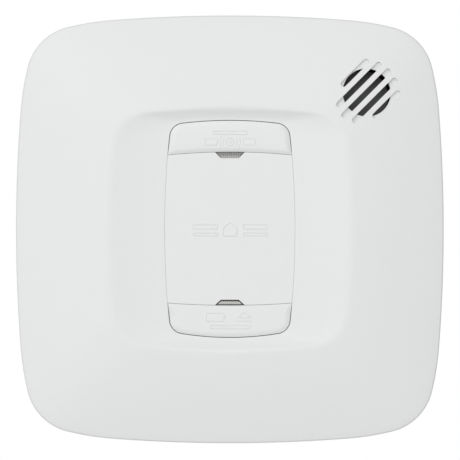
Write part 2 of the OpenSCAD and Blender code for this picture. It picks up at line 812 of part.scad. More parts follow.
module lower_light_pipe() {
  color([0.86, 0.90, 0.88, 0.8])
  upright() {
    slab([[-4.6, -eject_line + 0.1], [4.6, -eject_line + 0.1], [2.8, -eject_line + 1.65],
      [-2.8, -eject_line + 1.65]], z_face - 3.6, z_face - 0.5);
    block([-2.6, 2.6], [-eject_line + 0.3, -eject_line + 1.65], [z_board_top + 3.3, z_face - 3]);
  }
}

module led(y) {
  rod(0, y, z_board_top + 0.02, z_board_top + 1.6, 1.5);
  translate([0, y, z_board_top + 1.6]) sphere(r = 1.45);
}

module power_led() {
  color([0.55, 0.85, 0.60, 0.9])
  upright()
  led(led_y);
}

module alarm_led() {
  color([0.85, 0.35, 0.30, 0.9])
  upright()
  led(-eject_line + 1);
}

// ---------------------------------------------------------------- circuit board

module circuit_board() {
  color([0.10, 0.36, 0.20])
  upright()
  difference() {
    slab(rounded(2 * board_half, 2 * board_half, 8), board_z, z_board_top);
    for (p = board_posts) rod(p[0], p[1], board_z - 1, z_board_top + 1, 1.6);
  }
}

module board_screws() {
  color([0.72, 0.72, 0.74])
  upright()
  for (p = board_posts) translate([p[0], p[1], z_board_top + 1.62]) rotate([180, 0, 0]) {
    pan_screw(2.8, 1.6, 1.25, 7.5);
  }
}

module microcontroller() {
  color([0.12, 0.12, 0.13])
  upright()
  difference() {
    block([-5.2, 5.2], [-3.8, 3.8], [z_board_top + 0.4, z_board_top + 2.6]);
    rod(-4, -2.6, z_board_top + 2.4, z_board_top + 3, 0.5);
  }
}

module chip_legs() {
  color([0.78, 0.78, 0.80])
  upright()
  for (i = [-4 : 4]) for (s = [-1, 1]) {
    leg_x = [i * 1.15 - 0.2, i * 1.15 + 0.2];
    block(leg_x, s > 0 ? [3.85, 5.2] : [-5.2, -3.85], [z_board_top + 0.02, z_board_top + 0.35]);
    block(leg_x, s > 0 ? [3.85, 4.1] : [-4.1, -3.85], [z_board_top + 0.02, z_board_top + 1.4]);
  }
}

module transformer_core() {
  color([0.33, 0.33, 0.35])
  upright()
  translate([-part_x, 30, z_board_top + 0.3])
  difference() {
    block([-9.5, 9.5], [-6, 6], [0, 16]);
    block([-6.6, -3.2], [-7, 7], [3, 13]);
    block([3.2, 6.6], [-7, 7], [3, 13]);
  }
}

module transformer_coil() {
  color([0.86, 0.62, 0.20])
  upright()
  translate([-part_x, 30, z_board_top + 0.3])
  difference() {
    block([-6.4, 6.4], [-9.5, 9.5], [3.2, 12.8]);
    block([-3.4, 3.4], [-6.2, 6.2], [2, 14]);
  }
}

module film_capacitor() {
  color([0.80, 0.72, 0.20])
  upright()
  slab([for (p = rounded(18, 9, 1)) p + [-part_x, 8]], z_board_top + 0.3, z_board_top + 14);
}

module electrolytic_capacitors() {
  color([0.12, 0.14, 0.30])
  upright()
  for (y = [-3, 9, 21]) difference() {
    rod(part_x, y, z_board_top + 0.3, z_board_top + 15.5, 5);
    rod(part_x, y, z_board_top + 15.1, z_board_top + 16, 4.3);
    translate([part_x, y, z_board_top + 2.6]) rotate_extrude() translate([5.1, 0]) circle(r = 0.45);
  }
}

module varistor() {
  color([0.15, 0.35, 0.65])
  upright() {
    translate([-part_x - 2, -7, z_board_top + 7.6]) rotate([0, 90, 0]) cylinder(h = 4, r = 6);
    for (y = [-3.75, 3.75]) rod(-part_x, -7 + y, z_board_top + 0.02, z_board_top + 4.5, 0.4);
  }
}

module relay() {
  color([0.10, 0.25, 0.50])
  upright()
  slab([for (p = rounded(15, 19, 0.8)) p + [part_x, -21]], z_board_top + 0.3, z_board_top + 15);
}

module rectifier() {
  color([0.13, 0.13, 0.14])
  upright() {
    block([part_x - 4, part_x + 4], [-39.5, -33.5], [z_board_top + 1, z_board_top + 4.4]);
    for (x = [-2.5, 2.5]) for (y = [-38.5, -34.5]) {
      rod(part_x + x, y, z_board_top + 0.02, z_board_top + 1.5, 0.4);
    }
  }
}

module fuse() {
  color([0.86, 0.86, 0.84])
  upright()
  translate([-part_x, -18, z_board_top + 3.2])
  rotate([0, 90, 0]) {
    translate([0, 0, -8]) cylinder(h = 16, r = 2.2);
    translate([0, 0, -9.5]) cylinder(h = 4, r = 2.6);
    translate([0, 0, 5.5]) cylinder(h = 4, r = 2.6);
  }
}

module resistors() {
  color([0.78, 0.70, 0.52])
  upright()
  for (x = [-21 : 14 : 21]) translate([x - 3.2, 6 - board_half, z_board_top + 1.6]) rotate([0, 90, 0]) {
    cylinder(h = 6.4, r = 1.2);
  }
}

module resistor_leads() {
  color([0.78, 0.78, 0.80])
  upright()
  for (x = [-21 : 14 : 21]) for (s = [-1, 1]) {
    translate([x + (s > 0 ? 3.25 : -5.1), 6 - board_half, z_board_top + 1.6]) rotate([0, 90, 0]) {
      cylinder(h = 1.85, r = 0.3);
    }
    rod(x + s * 5, 6 - board_half, z_board_top + 0.02, z_board_top + 1.6, 0.3);
  }
}

// ---------------------------------------------------------------- sounder and sensor

module horn_body() {
  color([0.07, 0.07, 0.08])
  upright()
  on_dome()
  difference() {
    rod(0, 0, -18, -4.2, 14.7);
    rod(0, 0, -16.5, -5.7, 12.8);
    rod(0, 0, -7, -3, grille_r + 0.55);
  }
}

module horn_disc() {
  color([0.72, 0.58, 0.30])
  upright()
  on_dome()
  rod(0, 0, -12, -11.6, 12.7);
}

module horn_crystal() {
  color([0.60, 0.60, 0.60])
  upright()
  on_dome()
  rod(0, 0, -11.58, -11.3, 9);
}

module horn_gasket() {
  color([0.13, 0.13, 0.13])
  upright()
  on_dome()
  difference() {
    rod(0, 0, -4.15, -2.9, 13);
    rod(0, 0, -5, -2, grille_r + 1.15);
  }
}

module horn_pins() {
  color([0.80, 0.78, 0.70])
  upright()
  for (d = [[-5, 2], [2, -5], [5, 5]]) {
    rod(horn_xy - 2 + d[0], horn_xy - 2 + d[1], z_board_top + 0.02, dome_z(horn_s) - 19.6, 0.5);
  }
}

module sensor_can() {
  color([0.76, 0.77, 0.79])
  upright()
  rod(-part_x, sensor_y, z_board_top + 0.3, z_board_top + 16, 9.3);
}

module sensor_cap() {
  color([0.20, 0.20, 0.22])
  upright()
  difference() {
    rod(-part_x, sensor_y, z_board_top + 16.05, z_board_top + 18, 9.5);
    for (a = [0 : 60 : 300]) {
      rod(-part_x + 4.5 * cos(a), sensor_y + 4.5 * sin(a), z_board_top + 17, z_board_top + 19, 1);
    }
  }
}

mounting_plate();
rear_housing();
front_cover();
inner_frame();
test_button();
eject_button();
battery_drawer();
battery_body();
battery_snaps();
battery_contacts();
contact_blocks();
drawer_latch();
drawer_springs();
test_spring();
eject_spring();
switch_plunger();
test_switch();
upper_light_pipe();
lower_light_pipe();
power_led();
alarm_led();
circuit_board();
microcontroller();
chip_legs();
transformer_core();
transformer_coil();
film_capacitor();
electrolytic_capacitors();
varistor();
relay();
rectifier();
fuse();
resistors();
resistor_leads();
horn_body();
horn_disc();
horn_crystal();
horn_gasket();
horn_pins();
sensor_can();
sensor_cap();
power_inlet();
inlet_pins();
housing_screws();
board_screws();
frame_screws();
rating_label();
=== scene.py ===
import json
import math

import bmesh
import bpy
import numpy as np
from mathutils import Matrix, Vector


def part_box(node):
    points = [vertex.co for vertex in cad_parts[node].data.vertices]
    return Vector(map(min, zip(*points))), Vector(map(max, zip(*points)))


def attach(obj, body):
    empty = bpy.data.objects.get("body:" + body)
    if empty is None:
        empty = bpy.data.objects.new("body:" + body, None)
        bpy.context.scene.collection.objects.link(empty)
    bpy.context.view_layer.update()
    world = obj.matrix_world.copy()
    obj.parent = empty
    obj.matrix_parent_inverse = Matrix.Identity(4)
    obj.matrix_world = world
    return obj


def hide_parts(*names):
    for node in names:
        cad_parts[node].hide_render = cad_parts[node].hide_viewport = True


# Wall-mounted carbon monoxide detector: the looks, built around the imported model.
# Pieces are worked out lying on their backs in millimetres (x right, y up the face,
# z out of the wall) and stood up against the wall by place().
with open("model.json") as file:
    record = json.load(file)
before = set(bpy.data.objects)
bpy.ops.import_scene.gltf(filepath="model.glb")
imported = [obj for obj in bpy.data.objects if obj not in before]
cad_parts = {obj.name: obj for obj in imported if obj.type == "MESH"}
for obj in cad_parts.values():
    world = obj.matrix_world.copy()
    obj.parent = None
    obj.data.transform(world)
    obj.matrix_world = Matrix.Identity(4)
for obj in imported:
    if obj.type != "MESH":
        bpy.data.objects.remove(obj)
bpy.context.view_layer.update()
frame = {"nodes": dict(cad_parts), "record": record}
nodes = frame["nodes"]
scene = bpy.context.scene
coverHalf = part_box("front_cover")[1].x * 1000
ridgeZ = -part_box("front_cover")[0].y * 1000 + 0.1
boardTop = -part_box("circuit_board")[0].y * 1000
print("frame loaded:", len(nodes), "nodes")


# shapes

def place(points):
    # from face millimetres to the frame's metres: x, minus z, y
    points = np.asarray(points, float)
    return np.stack([points[..., 0], -points[..., 2], points[..., 1]], -1) * 0.001


def arcPoints(centre, radius, start, end, count):
    # centre plus radius times cosine and sine of evenly spaced angles, last one left out
    a = np.radians(np.linspace(start, end, count, endpoint=False))
    return np.stack([centre[0] + radius * np.cos(a), centre[1] + radius * np.sin(a)], -1)


loopSteps = {"side": 12, "shoulder": 8, "corner": 11}  # samples along an eighth of a loop


def outerLoop(half):
    # side arc, shoulder arc and corner arc in turn, each tangent to the one before,
    # mirrored about the diagonal and turned through the four quarters
    sideR, sideA = 525 * half / 74, math.radians(4.48)
    shoulderR, shoulderA = 94.6 * half / 74, math.radians(13.82)
    sideC = np.array([half - sideR, 0.0])
    shoulderC = sideC + (sideR - shoulderR) * np.array([math.cos(sideA), math.sin(sideA)])
    step = (shoulderC[0] - shoulderC[1]) / (math.sin(shoulderA) - math.cos(shoulderA))
    cornerC = shoulderC + step * np.array([math.cos(shoulderA), math.sin(shoulderA)])
    cornerR = shoulderR - step
    eighth = np.concatenate([
        arcPoints(sideC, sideR, 0, 4.48, loopSteps["side"]),
        arcPoints(shoulderC, shoulderR, 4.48, 13.82, loopSteps["shoulder"]),
        arcPoints(cornerC, cornerR, 13.82, 45, loopSteps["corner"]),
    ])
    corner = (cornerC + cornerR * math.sqrt(0.5))[None]
    quarter = np.concatenate([eighth, corner, eighth[:0:-1, ::-1]])
    x, y = quarter[:, 0], quarter[:, 1]
    return np.concatenate([
        quarter,
        np.stack([-y, x], -1),
        -quarter,
        np.stack([y, -x], -1),
    ])


def bowedQuarter(w, h, rx, ry, rc):
    # a corner arc that touches two bowed sides: its centre is where two circles meet
    c1, c2 = np.array([w - rx, 0.0]), np.array([0.0, h - ry])
    span = np.linalg.norm(c2 - c1)
    u = (c2 - c1) / span
    d1, d2 = rx - rc, ry - rc
    along = (d1 * d1 - d2 * d2 + span * span) / (2 * span)
    across = math.sqrt(d1 * d1 - along * along)
    c = c1 + along * u + across * np.array([-u[1], u[0]])
    a1 = math.degrees(math.atan2(c[1] - c1[1], c[0] - c1[0]))
    a2 = math.degrees(math.atan2(c[1] - c2[1], c[0] - c2[0]))
    n = loopSteps["side"] + loopSteps["shoulder"]
    return np.concatenate([
        arcPoints(c1, rx, 0, a1, n),
        arcPoints(c, rc, a1, a2, 2 * loopSteps["corner"]),
        arcPoints(c2, ry, a2, 90, n),
        [[0.0, h]],
    ])


def wholeLoop(up, low):
    # four quarters from an upper one and a lower one, by changing signs
    return np.concatenate([
        up[:-1],
        up[:0:-1] * [-1, 1],
        -low[:-1],
        low[:0:-1] * [1, -1],
    ])


def insetLoop(p, d):
    # each point moves along the mean of its two edge normals by d, d may differ by point
    edge = np.roll(p, -1, 0) - p
    normal = np.stack([edge[:, 1], -edge[:, 0]], -1)
    normal /= np.linalg.norm(normal, axis=1)[:, None]
    before = np.roll(normal, 1, 0)
    scale = 1 + (normal * before).sum(1)
    d = np.broadcast_to(d, len(p))
    return p - d[:, None] * (normal + before) / scale[:, None]


def atHeight(p, z):
    # a flat loop raised to height z, which may differ by point
    return np.concatenate([p, np.broadcast_to(z, len(p))[:, None]], 1)


def gridFaces(rows, cols, wrapRows, wrapCols):
    # quads between neighbouring rows and columns of a grid, numbered row by row
    r = np.arange(rows if wrapRows else rows - 1)
    c = np.arange(cols if wrapCols else cols - 1)
    r, c = np.meshgrid(r, c, indexing="ij")
    r2, c2 = (r + 1) % rows, (c + 1) % cols
    quads = np.stack([r * cols + c, r * cols + c2, r2 * cols + c2, r2 * cols + c], -1)
    return quads.reshape(-1, 4)


def meshFrom(name, parts, sharp=35):
    # one mesh from several (points, faces) parts, doubles merged, normals outwards
    mesh = bpy.data.meshes.new(name)
    points, faces, start = [], [], 0
    for p, f in parts:
        points.append(place(p).reshape(-1, 3))
        faces += [[int(i) + start for i in q] for q in f]
        start += len(points[-1])
    mesh.from_pydata(np.concatenate(points).tolist(), [], faces)
    bm = bmesh.new()
    bm.from_mesh(mesh)
    bmesh.ops.remove_doubles(bm, verts=bm.verts, dist=2e-7)
    bmesh.ops.recalc_face_normals(bm, faces=bm.faces)
    bm.to_mesh(mesh)
    bm.free()
    mesh.shade_smooth()
    mesh.set_sharp_from_angle(angle=math.radians(sharp))
    return mesh


def addPiece(name, mesh, material, body, slotName, *replaced):
    piece = bpy.data.objects.new(name, mesh)
    scene.collection.objects.link(piece)
    mesh.materials.clear()
    mesh.materials.append(material)
    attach(piece, body)
    if replaced:
        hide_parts(*replaced)
    return piece


def revolved(profile, centre, steps=40):
    # radius and height pairs turned about an upright axis through centre
    a = np.linspace(0, 2 * np.pi, steps, endpoint=False)
    profile = np.asarray(profile, float)
    r, z = profile[:, 0][:, None], profile[:, 1][:, None]
    grid = np.stack([
        centre[0] + r * np.cos(a),
        centre[1] + r * np.sin(a),
        z + 0 * a,
    ], -1)
    return grid.reshape(-1, 3), gridFaces(len(profile), steps, False, True)


def stadium(width, left, right, steps=10):
    # two half circles joined by straight runs along x, tip to tip from -left to right
    r = width / 2
    head = arcPoints([right - r, 0], r, -90, 90, steps)
    tail = arcPoints([r - left, 0], r, 90, 270, steps)
    return np.concatenate([head, [[right - r, r]], tail, [[r - left, -r]]])


def prism(loop, low, high):
    # a loop at two heights with a flat face at each end
    n = len(loop)
    points = np.concatenate([atHeight(loop, low), atHeight(loop, high)])
    faces = [list(q) for q in gridFaces(2, n, False, True)]
    return points, faces + [list(range(n))[::-1], list(range(n, 2 * n))]


def tubeAlong(path, radius, sides=10):
    # a circle of points about each path point, square to the path, closed by two end faces
    path = np.asarray(path, float)
    tangent = np.gradient(path, axis=0)
    tangent /= np.linalg.norm(tangent, axis=1)[:, None]
    side = np.cross(tangent, [0.0, 0.0, 1.0])
    side /= np.linalg.norm(side, axis=1)[:, None]
    up = np.cross(side, tangent)
    a = np.linspace(0, 2 * np.pi, sides, endpoint=False)
    grid = (
        path[:, None]
        + radius * np.cos(a)[None, :, None] * side[:, None]
        + radius * np.sin(a)[None, :, None] * up[:, None]
    )
    faces = [list(q) for q in gridFaces(len(path), sides, False, True)]
    last = (len(path) - 1) * sides
    faces += [list(range(sides))[::-1], list(range(last, last + sides))]
    return grid.reshape(-1, 3), faces


def bead(path, width, height, base, closed):
    # a low rounded ridge carried along a flat path; its section is a flattened half circle
    path = np.asarray(path, float)
    if closed:
        tangent = np.roll(path, -1, 0) - np.roll(path, 1, 0)
    else:
        tangent = np.gradient(path, axis=0)
    tangent /= np.linalg.norm(tangent, axis=1)[:, None]
    side = np.stack([-tangent[:, 1], tangent[:, 0]], -1)
    a = np.radians([180, 150, 115, 90, 65, 30, 0])
    across = np.cos(a) * width / 2
    up = base - 0.05 + (height + 0.05) * np.sin(a) ** 0.6
    grid = path[:, None] + across[None, :, None] * side[:, None]
    grid = np.concatenate([grid, np.broadcast_to(up[None, :, None], grid.shape[:2] + (1,))], 2)
    faces = [list(q) for q in gridFaces(len(path), len(a), closed, True)]
    if not closed:
        last = (len(path) - 1) * len(a)
        faces += [list(range(len(a)))[::-1], list(range(last, last + len(a)))]
    return grid.reshape(-1, 3), faces


# shader groups

def newGroup(name, inputs, outputs):
    tree = bpy.data.node_groups.new(name, "ShaderNodeTree")
    for label, kind, value in inputs:
        socket = tree.interface.new_socket(name=label, in_out="INPUT", socket_type=kind)
        socket.default_value = value
    for label, kind in outputs:
        tree.interface.new_socket(name=label, in_out="OUTPUT", socket_type=kind)
    return tree, tree.nodes.new("NodeGroupInput"), tree.nodes.new("NodeGroupOutput")


def addNode(tree, kind, **values):
    node = tree.nodes.new(kind)
    for key, value in values.items():
        if hasattr(node, key):
            setattr(node, key, value)
        else:
            node.inputs[key.replace("_", " ")].default_value = value
    return node


def addMath(tree, operation, a, b=0.5):
    node = tree.nodes.new("ShaderNodeMath")
    node.operation = operation
    for i, value in enumerate((a, b)):
        if isinstance(value, (int, float)):
            node.inputs[i].default_value = value
        else:
            tree.links.new(value, node.inputs[i])
    return node.outputs[0]


def addMix(tree, factor, a, b, mode="MIX"):
    node = tree.nodes.new("ShaderNodeMix")
    node.data_type = "RGBA"
    node.blend_type = mode
    for socket, value in ((node.inputs[0], factor), (node.inputs[6], a), (node.inputs[7], b)):
        if isinstance(value, (int, float, tuple)):
            socket.default_value = value
        else:
            tree.links.new(value, socket)
    return node.outputs[2]


def objectPoints(tree, scale=(1, 1, 1), source=None):
    mapping = tree.nodes.new("ShaderNodeMapping")
    mapping.inputs["Scale"].default_value = scale
    if source is None:
        source = tree.nodes.new("ShaderNodeTexCoord").outputs["Object"]
    tree.links.new(source, mapping.inputs["Vector"])
    return mapping.outputs[0]


# spark-eroded mould texture: two sizes of fine noise as a height, and a drift in tone
grainGroup, gIn, gOut = newGroup(
    "mouldGrain",
    [("Fineness", "NodeSocketFloat", 2600.0), ("Drift", "NodeSocketFloat", 0.02)],
    [("Height", "NodeSocketFloat"), ("Tone", "NodeSocketFloat")],
)
gPoints = objectPoints(grainGroup)
gFine = addNode(grainGroup, "ShaderNodeTexNoise", Detail=3.0, Roughness=0.6)
grainGroup.links.new(gPoints, gFine.inputs["Vector"])
grainGroup.links.new(gIn.outputs["Fineness"], gFine.inputs["Scale"])
gCoarse = addNode(grainGroup, "ShaderNodeTexNoise", Detail=2.0)
grainGroup.links.new(gPoints, gCoarse.inputs["Vector"])
coarseScale = addMath(grainGroup, "MULTIPLY", gIn.outputs["Fineness"], 0.28)
grainGroup.links.new(coarseScale, gCoarse.inputs["Scale"])
height = addMath(grainGroup, "MULTIPLY", gCoarse.outputs["Fac"], 0.6)
height = addMath(grainGroup, "ADD", height, gFine.outputs["Fac"])
grainGroup.links.new(height, gOut.inputs["Height"])
gDrift = addNode(grainGroup, "ShaderNodeTexNoise", Scale=18.0, Detail=3.0)
grainGroup.links.new(gPoints, gDrift.inputs["Vector"])
drift = addMath(grainGroup, "SUBTRACT", gDrift.outputs["Fac"], 0.5)
drift = addMath(grainGroup, "MULTIPLY", drift, gIn.outputs["Drift"])
drift = addMath(grainGroup, "ADD", drift, 1.0)
grainGroup.links.new(drift, gOut.inputs["Tone"])

# a film of settled dust: more on faces that look up, broken up by noise
dustGroup, dIn, dOut = newGroup(
    "settledDust",
    [("Amount", "NodeSocketFloat", 0.1)],
    [("Mask", "NodeSocketFloat")],
)
dGeometry = dustGroup.nodes.new("ShaderNodeNewGeometry")
dSplit = dustGroup.nodes.new("ShaderNodeSeparateXYZ")
dustGroup.links.new(dGeometry.outputs["Normal"], dSplit.inputs[0])
facing = addMath(dustGroup, "MAXIMUM", dSplit.outputs["Z"], 0.0)
facing = addMath(dustGroup, "POWER", facing, 2.0)
dNoise = addNode(dustGroup, "ShaderNodeTexNoise", Scale=140.0, Detail=5.0, Roughness=0.65)
dustGroup.links.new(objectPoints(dustGroup), dNoise.inputs["Vector"])
patchy = addMath(dustGroup, "MULTIPLY", dNoise.outputs["Fac"], facing)
patchy = addMath(dustGroup, "MULTIPLY", patchy, dIn.outputs["Amount"])
dustGroup.links.new(patchy, dOut.inputs["Mask"])

# drawn or rolled metal: noise stretched along one axis
drawnGroup, wIn, wOut = newGroup(
    "drawnMetal",
    [("Vector", "NodeSocketVector", (0.0, 0.0, 0.0)), ("Fineness", "NodeSocketFloat", 900.0)],
    [("Height", "NodeSocketFloat"), ("Rough", "NodeSocketFloat")],
)
wNoise = addNode(drawnGroup, "ShaderNodeTexNoise", Detail=4.0, Roughness=0.7)
drawnGroup.links.new(wIn.outputs["Vector"], wNoise.inputs["Vector"])
drawnGroup.links.new(wIn.outputs["Fineness"], wNoise.inputs["Scale"])
drawnGroup.links.new(wNoise.outputs["Fac"], wOut.inputs["Height"])
wRough = addMath(drawnGroup, "MULTIPLY", wNoise.outputs["Fac"], 0.3)
wRough = addMath(drawnGroup, "ADD", wRough, 0.15)
drawnGroup.links.new(wRough, wOut.inputs["Rough"])


def addGroup(tree, group, **values):
    node = tree.nodes.new("ShaderNodeGroup")
    node.node_tree = group
    for key, value in values.items():
        node.inputs[key].default_value = value
    return node


def startMaterial(name):
    material = bpy.data.materials.new(name)
    material.use_nodes = True
    tree = material.node_tree
    return material, tree, tree.nodes["Principled BSDF"]


def addBump(tree, shader, heightSocket, strength, distance):
    bump = addNode(tree, "ShaderNodeBump", Strength=strength, Distance=distance)
    tree.links.new(heightSocket, bump.inputs["Height"])
    tree.links.new(bump.outputs["Normal"], shader.inputs["Normal"])


def mouldedPlastic(name, colour, rough=0.42, fineness=2600.0, depth=0.00004, dust=0.06,
                   drift=0.02, specular=0.4, coat=0.0, alpha=1.0):
    material, tree, shader = startMaterial(name)
    grain = addGroup(tree, grainGroup, Fineness=fineness, Drift=drift)
    film = addGroup(tree, dustGroup, Amount=dust)
    toned = addMix(tree, 1.0, (*colour, 1.0), grain.outputs["Tone"], "MULTIPLY")
    dusty = addMix(tree, film.outputs["Mask"], toned, (0.42, 0.40, 0.37, 1.0))
    tree.links.new(dusty, shader.inputs["Base Color"])
    roughness = addMath(tree, "MULTIPLY", film.outputs["Mask"], 0.4)
    roughness = addMath(tree, "ADD", roughness, rough)
    wobble = addMath(tree, "SUBTRACT", grain.outputs["Tone"], 1.0)
    roughness = addMath(tree, "ADD", roughness, wobble)
    tree.links.new(roughness, shader.inputs["Roughness"])
    shader.inputs["Specular IOR Level"].default_value = specular
    shader.inputs["Coat Weight"].default_value = coat
    shader.inputs["Alpha"].default_value = alpha
    addBump(tree, shader, grain.outputs["Height"], 0.5, depth)
    return material


def drawnMetal(name, colour, stretch=(1, 1, 0.05), fineness=900.0, rough=0.0, depth=0.00002):
    material, tree, shader = startMaterial(name)
    metal = addGroup(tree, drawnGroup, Fineness=fineness)
    tree.links.new(objectPoints(tree, stretch), metal.inputs["Vector"])
    grain = addGroup(tree, grainGroup, Fineness=700.0, Drift=0.12)
    toned = addMix(tree, 1.0, (*colour, 1.0), grain.outputs["Tone"], "MULTIPLY")
    tree.links.new(toned, shader.inputs["Base Color"])
    tree.links.new(addMath(tree, "ADD", metal.outputs["Rough"], rough), shader.inputs["Roughness"])
    shader.inputs["Metallic"].default_value = 1.0
    addBump(tree, shader, metal.outputs["Height"], 0.4, depth)
    return material


print("shader groups ready")

coverLook = {"colour": (0.80, 0.802, 0.803), "rough": 0.52, "fineness": 2400.0, "depth": 0.00003,
             "specular": 0.3}
coverPlastic = mouldedPlastic("coverPlastic", drift=0.012, **coverLook)
housingPlastic = mouldedPlastic("housingPlastic", (0.74, 0.74, 0.725), 0.48, 1700.0, 0.00006)
darkPlastic = mouldedPlastic("darkPlastic", (0.010, 0.009, 0.009), 0.62, 1900.0, 0.00005, 0.0, 0.02, 0.12)
inletNylon = mouldedPlastic("inletNylon", (0.70, 0.68, 0.61), 0.4, 1500.0, 0.00004)
plungerPlastic = mouldedPlastic("plungerPlastic", (0.66, 0.52, 0.08), 0.35, 2200.0, 0.00003)
foamRubber = mouldedPlastic("foamRubber", (0.03, 0.03, 0.032), 0.9, 900.0, 0.0003, 0.02, 0.2, 0.2)
capacitorBox = mouldedPlastic("capacitorBox", (0.60, 0.48, 0.08), 0.34, 1200.0, 0.00005)
varistorCoat = mouldedPlastic("varistorCoat", (0.05, 0.16, 0.40), 0.3, 500.0, 0.00008, 0.05, 0.08)
relayCase = mouldedPlastic("relayCase", (0.03, 0.09, 0.26), 0.4, 1400.0, 0.00005)
ledGreen = mouldedPlastic("ledGreen", (0.16, 0.52, 0.22), 0.2, 1200.0, 0.00002, 0.0, 0.05, 0.6, 0.3)
ledRed = mouldedPlastic("ledRed", (0.60, 0.06, 0.04), 0.2, 1200.0, 0.00002, 0.0, 0.05, 0.6, 0.3)
fuseCeramic = mouldedPlastic("fuseCeramic", (0.70, 0.70, 0.67), 0.2, 600.0, 0.00002, 0.03)
piezoCeramic = mouldedPlastic("piezoCeramic", (0.16, 0.16, 0.16), 0.45, 1100.0, 0.00004)
brightMetal = drawnMetal("brightMetal", (0.78, 0.78, 0.80))
springSteel = drawnMetal("springSteel", (0.56, 0.57, 0.59), (1, 1, 1), 1500.0, 0.05)
screwSteel = drawnMetal("screwSteel", (0.62, 0.62, 0.64), (1, 0.2, 1), 1100.0, 0.1)
brassPins = drawnMetal("brassPins", (0.74, 0.56, 0.26), (1, 0.05, 1))


def laminatedCore():
    # sheets of core steel: fine dark lines along one axis over a varnished brown-black
    material, tree, shader = startMaterial("coreSteel")
    wave = addNode(tree, "ShaderNodeTexWave", Scale=320.0, Distortion=0.4)
    wave.bands_direction = "Z"
    tree.links.new(objectPoints(tree), wave.inputs["Vector"])
    grain = addGroup(tree, grainGroup, Fineness=900.0, Drift=0.3)
    lines = addMix(tree, wave.outputs["Fac"], (0.05, 0.045, 0.04, 1), (0.17, 0.16, 0.15, 1))
    lines = addMix(tree, 1.0, lines, grain.outputs["Tone"], "MULTIPLY")
    tree.links.new(lines, shader.inputs["Base Color"])
    shader.inputs["Metallic"].default_value = 0.6
    shader.inputs["Roughness"].default_value = 0.45
    addBump(tree, shader, wave.outputs["Fac"], 0.6, 0.0001)
    return material


def windingTape():
    # tape wound round the coil: soft overlapping bands with a slight gloss
    material, tree, shader = startMaterial("windingTape")
    wave = addNode(tree, "ShaderNodeTexWave", Scale=90.0, Distortion=1.5, Detail=2.0)
    tree.links.new(objectPoints(tree), wave.inputs["Vector"])
    tones = addMix(tree, wave.outputs["Fac"], (0.55, 0.36, 0.05, 1), (0.74, 0.52, 0.12, 1))
    tree.links.new(tones, shader.inputs["Base Color"])
    shader.inputs["Roughness"].default_value = 0.3
    addBump(tree, shader, wave.outputs["Fac"], 0.4, 0.0001)
    return material


def solderResist():
    # green resist over copper: square-cornered tracks that show through, bright pads in rows
    material, tree, shader = startMaterial("solderResist")
    points = objectPoints(tree)
    tracks = addNode(tree, "ShaderNodeTexBrick", Scale=170.0)
    tracks.inputs["Mortar Size"].default_value = 0.03
    tracks.inputs["Mortar Smooth"].default_value = 0.3
    flat = tree.nodes.new("ShaderNodeMapping")
    flat.inputs["Rotation"].default_value = (math.radians(90), 0, 0)
    tree.links.new(points, flat.inputs["Vector"])
    tree.links.new(flat.outputs[0], tracks.inputs["Vector"])
    pads = addNode(tree, "ShaderNodeTexVoronoi", Scale=330.0, Randomness=0.25)
    tree.links.new(flat.outputs[0], pads.inputs["Vector"])
    spots = addMath(tree, "LESS_THAN", pads.outputs["Distance"], 0.16)
    clusters = addNode(tree, "ShaderNodeTexNoise", Scale=60.0)
    tree.links.new(flat.outputs[0], clusters.inputs["Vector"])
    spots = addMath(tree, "MULTIPLY", spots, addMath(tree, "GREATER_THAN", clusters.outputs["Fac"], 0.55))
    green = addMix(tree, tracks.outputs["Fac"], (0.018, 0.12, 0.05, 1), (0.035, 0.2, 0.085, 1))
    colour = addMix(tree, spots, green, (0.62, 0.60, 0.55, 1))
    tree.links.new(colour, shader.inputs["Base Color"])
    tree.links.new(spots, shader.inputs["Metallic"])
    shader.inputs["Roughness"].default_value = 0.32
    lift = addMath(tree, "ADD", tracks.outputs["Fac"], spots)
    addBump(tree, shader, lift, 0.5, 0.00005)
    return material


def axisRamp(tree, axis, low, high, stops):
    # a hard-edged colour ramp along one axis between two places, in metres
    split = tree.nodes.new("ShaderNodeSeparateXYZ")
    tree.links.new(objectPoints(tree), split.inputs[0])
    run = addNode(tree, "ShaderNodeMapRange")
    run.inputs["From Min"].default_value = low
    run.inputs["From Max"].default_value = high
    tree.links.new(split.outputs[axis], run.inputs["Value"])
    ramp = tree.nodes.new("ShaderNodeValToRGB")
    ramp.color_ramp.interpolation = "CONSTANT"
    tree.links.new(run.outputs[0], ramp.inputs[0])
    marks = ramp.color_ramp.elements
    marks[0].position, marks[0].color = stops[0][0], (*stops[0][1], 1)
    marks[1].position, marks[1].color = stops[1][0], (*stops[1][1], 1)
    for position, colour in stops[2:]:
        marks.new(position).color = (*colour, 1)
    return ramp.outputs[0]


def bandedBody(name, axis, low, high, stops, rough, coat=0.0):
    # plain coloured bands along a body, under a faint grain
    material, tree, shader = startMaterial(name)
    bands = axisRamp(tree, axis, low, high, stops)
    grain = addGroup(tree, grainGroup, Fineness=1300.0, Drift=0.08)
    toned = addMix(tree, 1.0, bands, grain.outputs["Tone"], "MULTIPLY")
    tree.links.new(toned, shader.inputs["Base Color"])
    shader.inputs["Roughness"].default_value = rough
    shader.inputs["Coat Weight"].default_value = coat
    addBump(tree, shader, grain.outputs["Height"], 0.4, 0.00003)
    return material


# where the painted shadow under the button ends and how fast it fades, and where the painted gap shade on
# the lower guide begins
lens = {"ribs": 420.0, "buttonShadowEnd": 0.0258, "buttonShadowSlope": 900.0,
        "lowerMiddle": -0.02532, "lowerHalf": 0.0003, "gapShadeSlope": 3600.0}


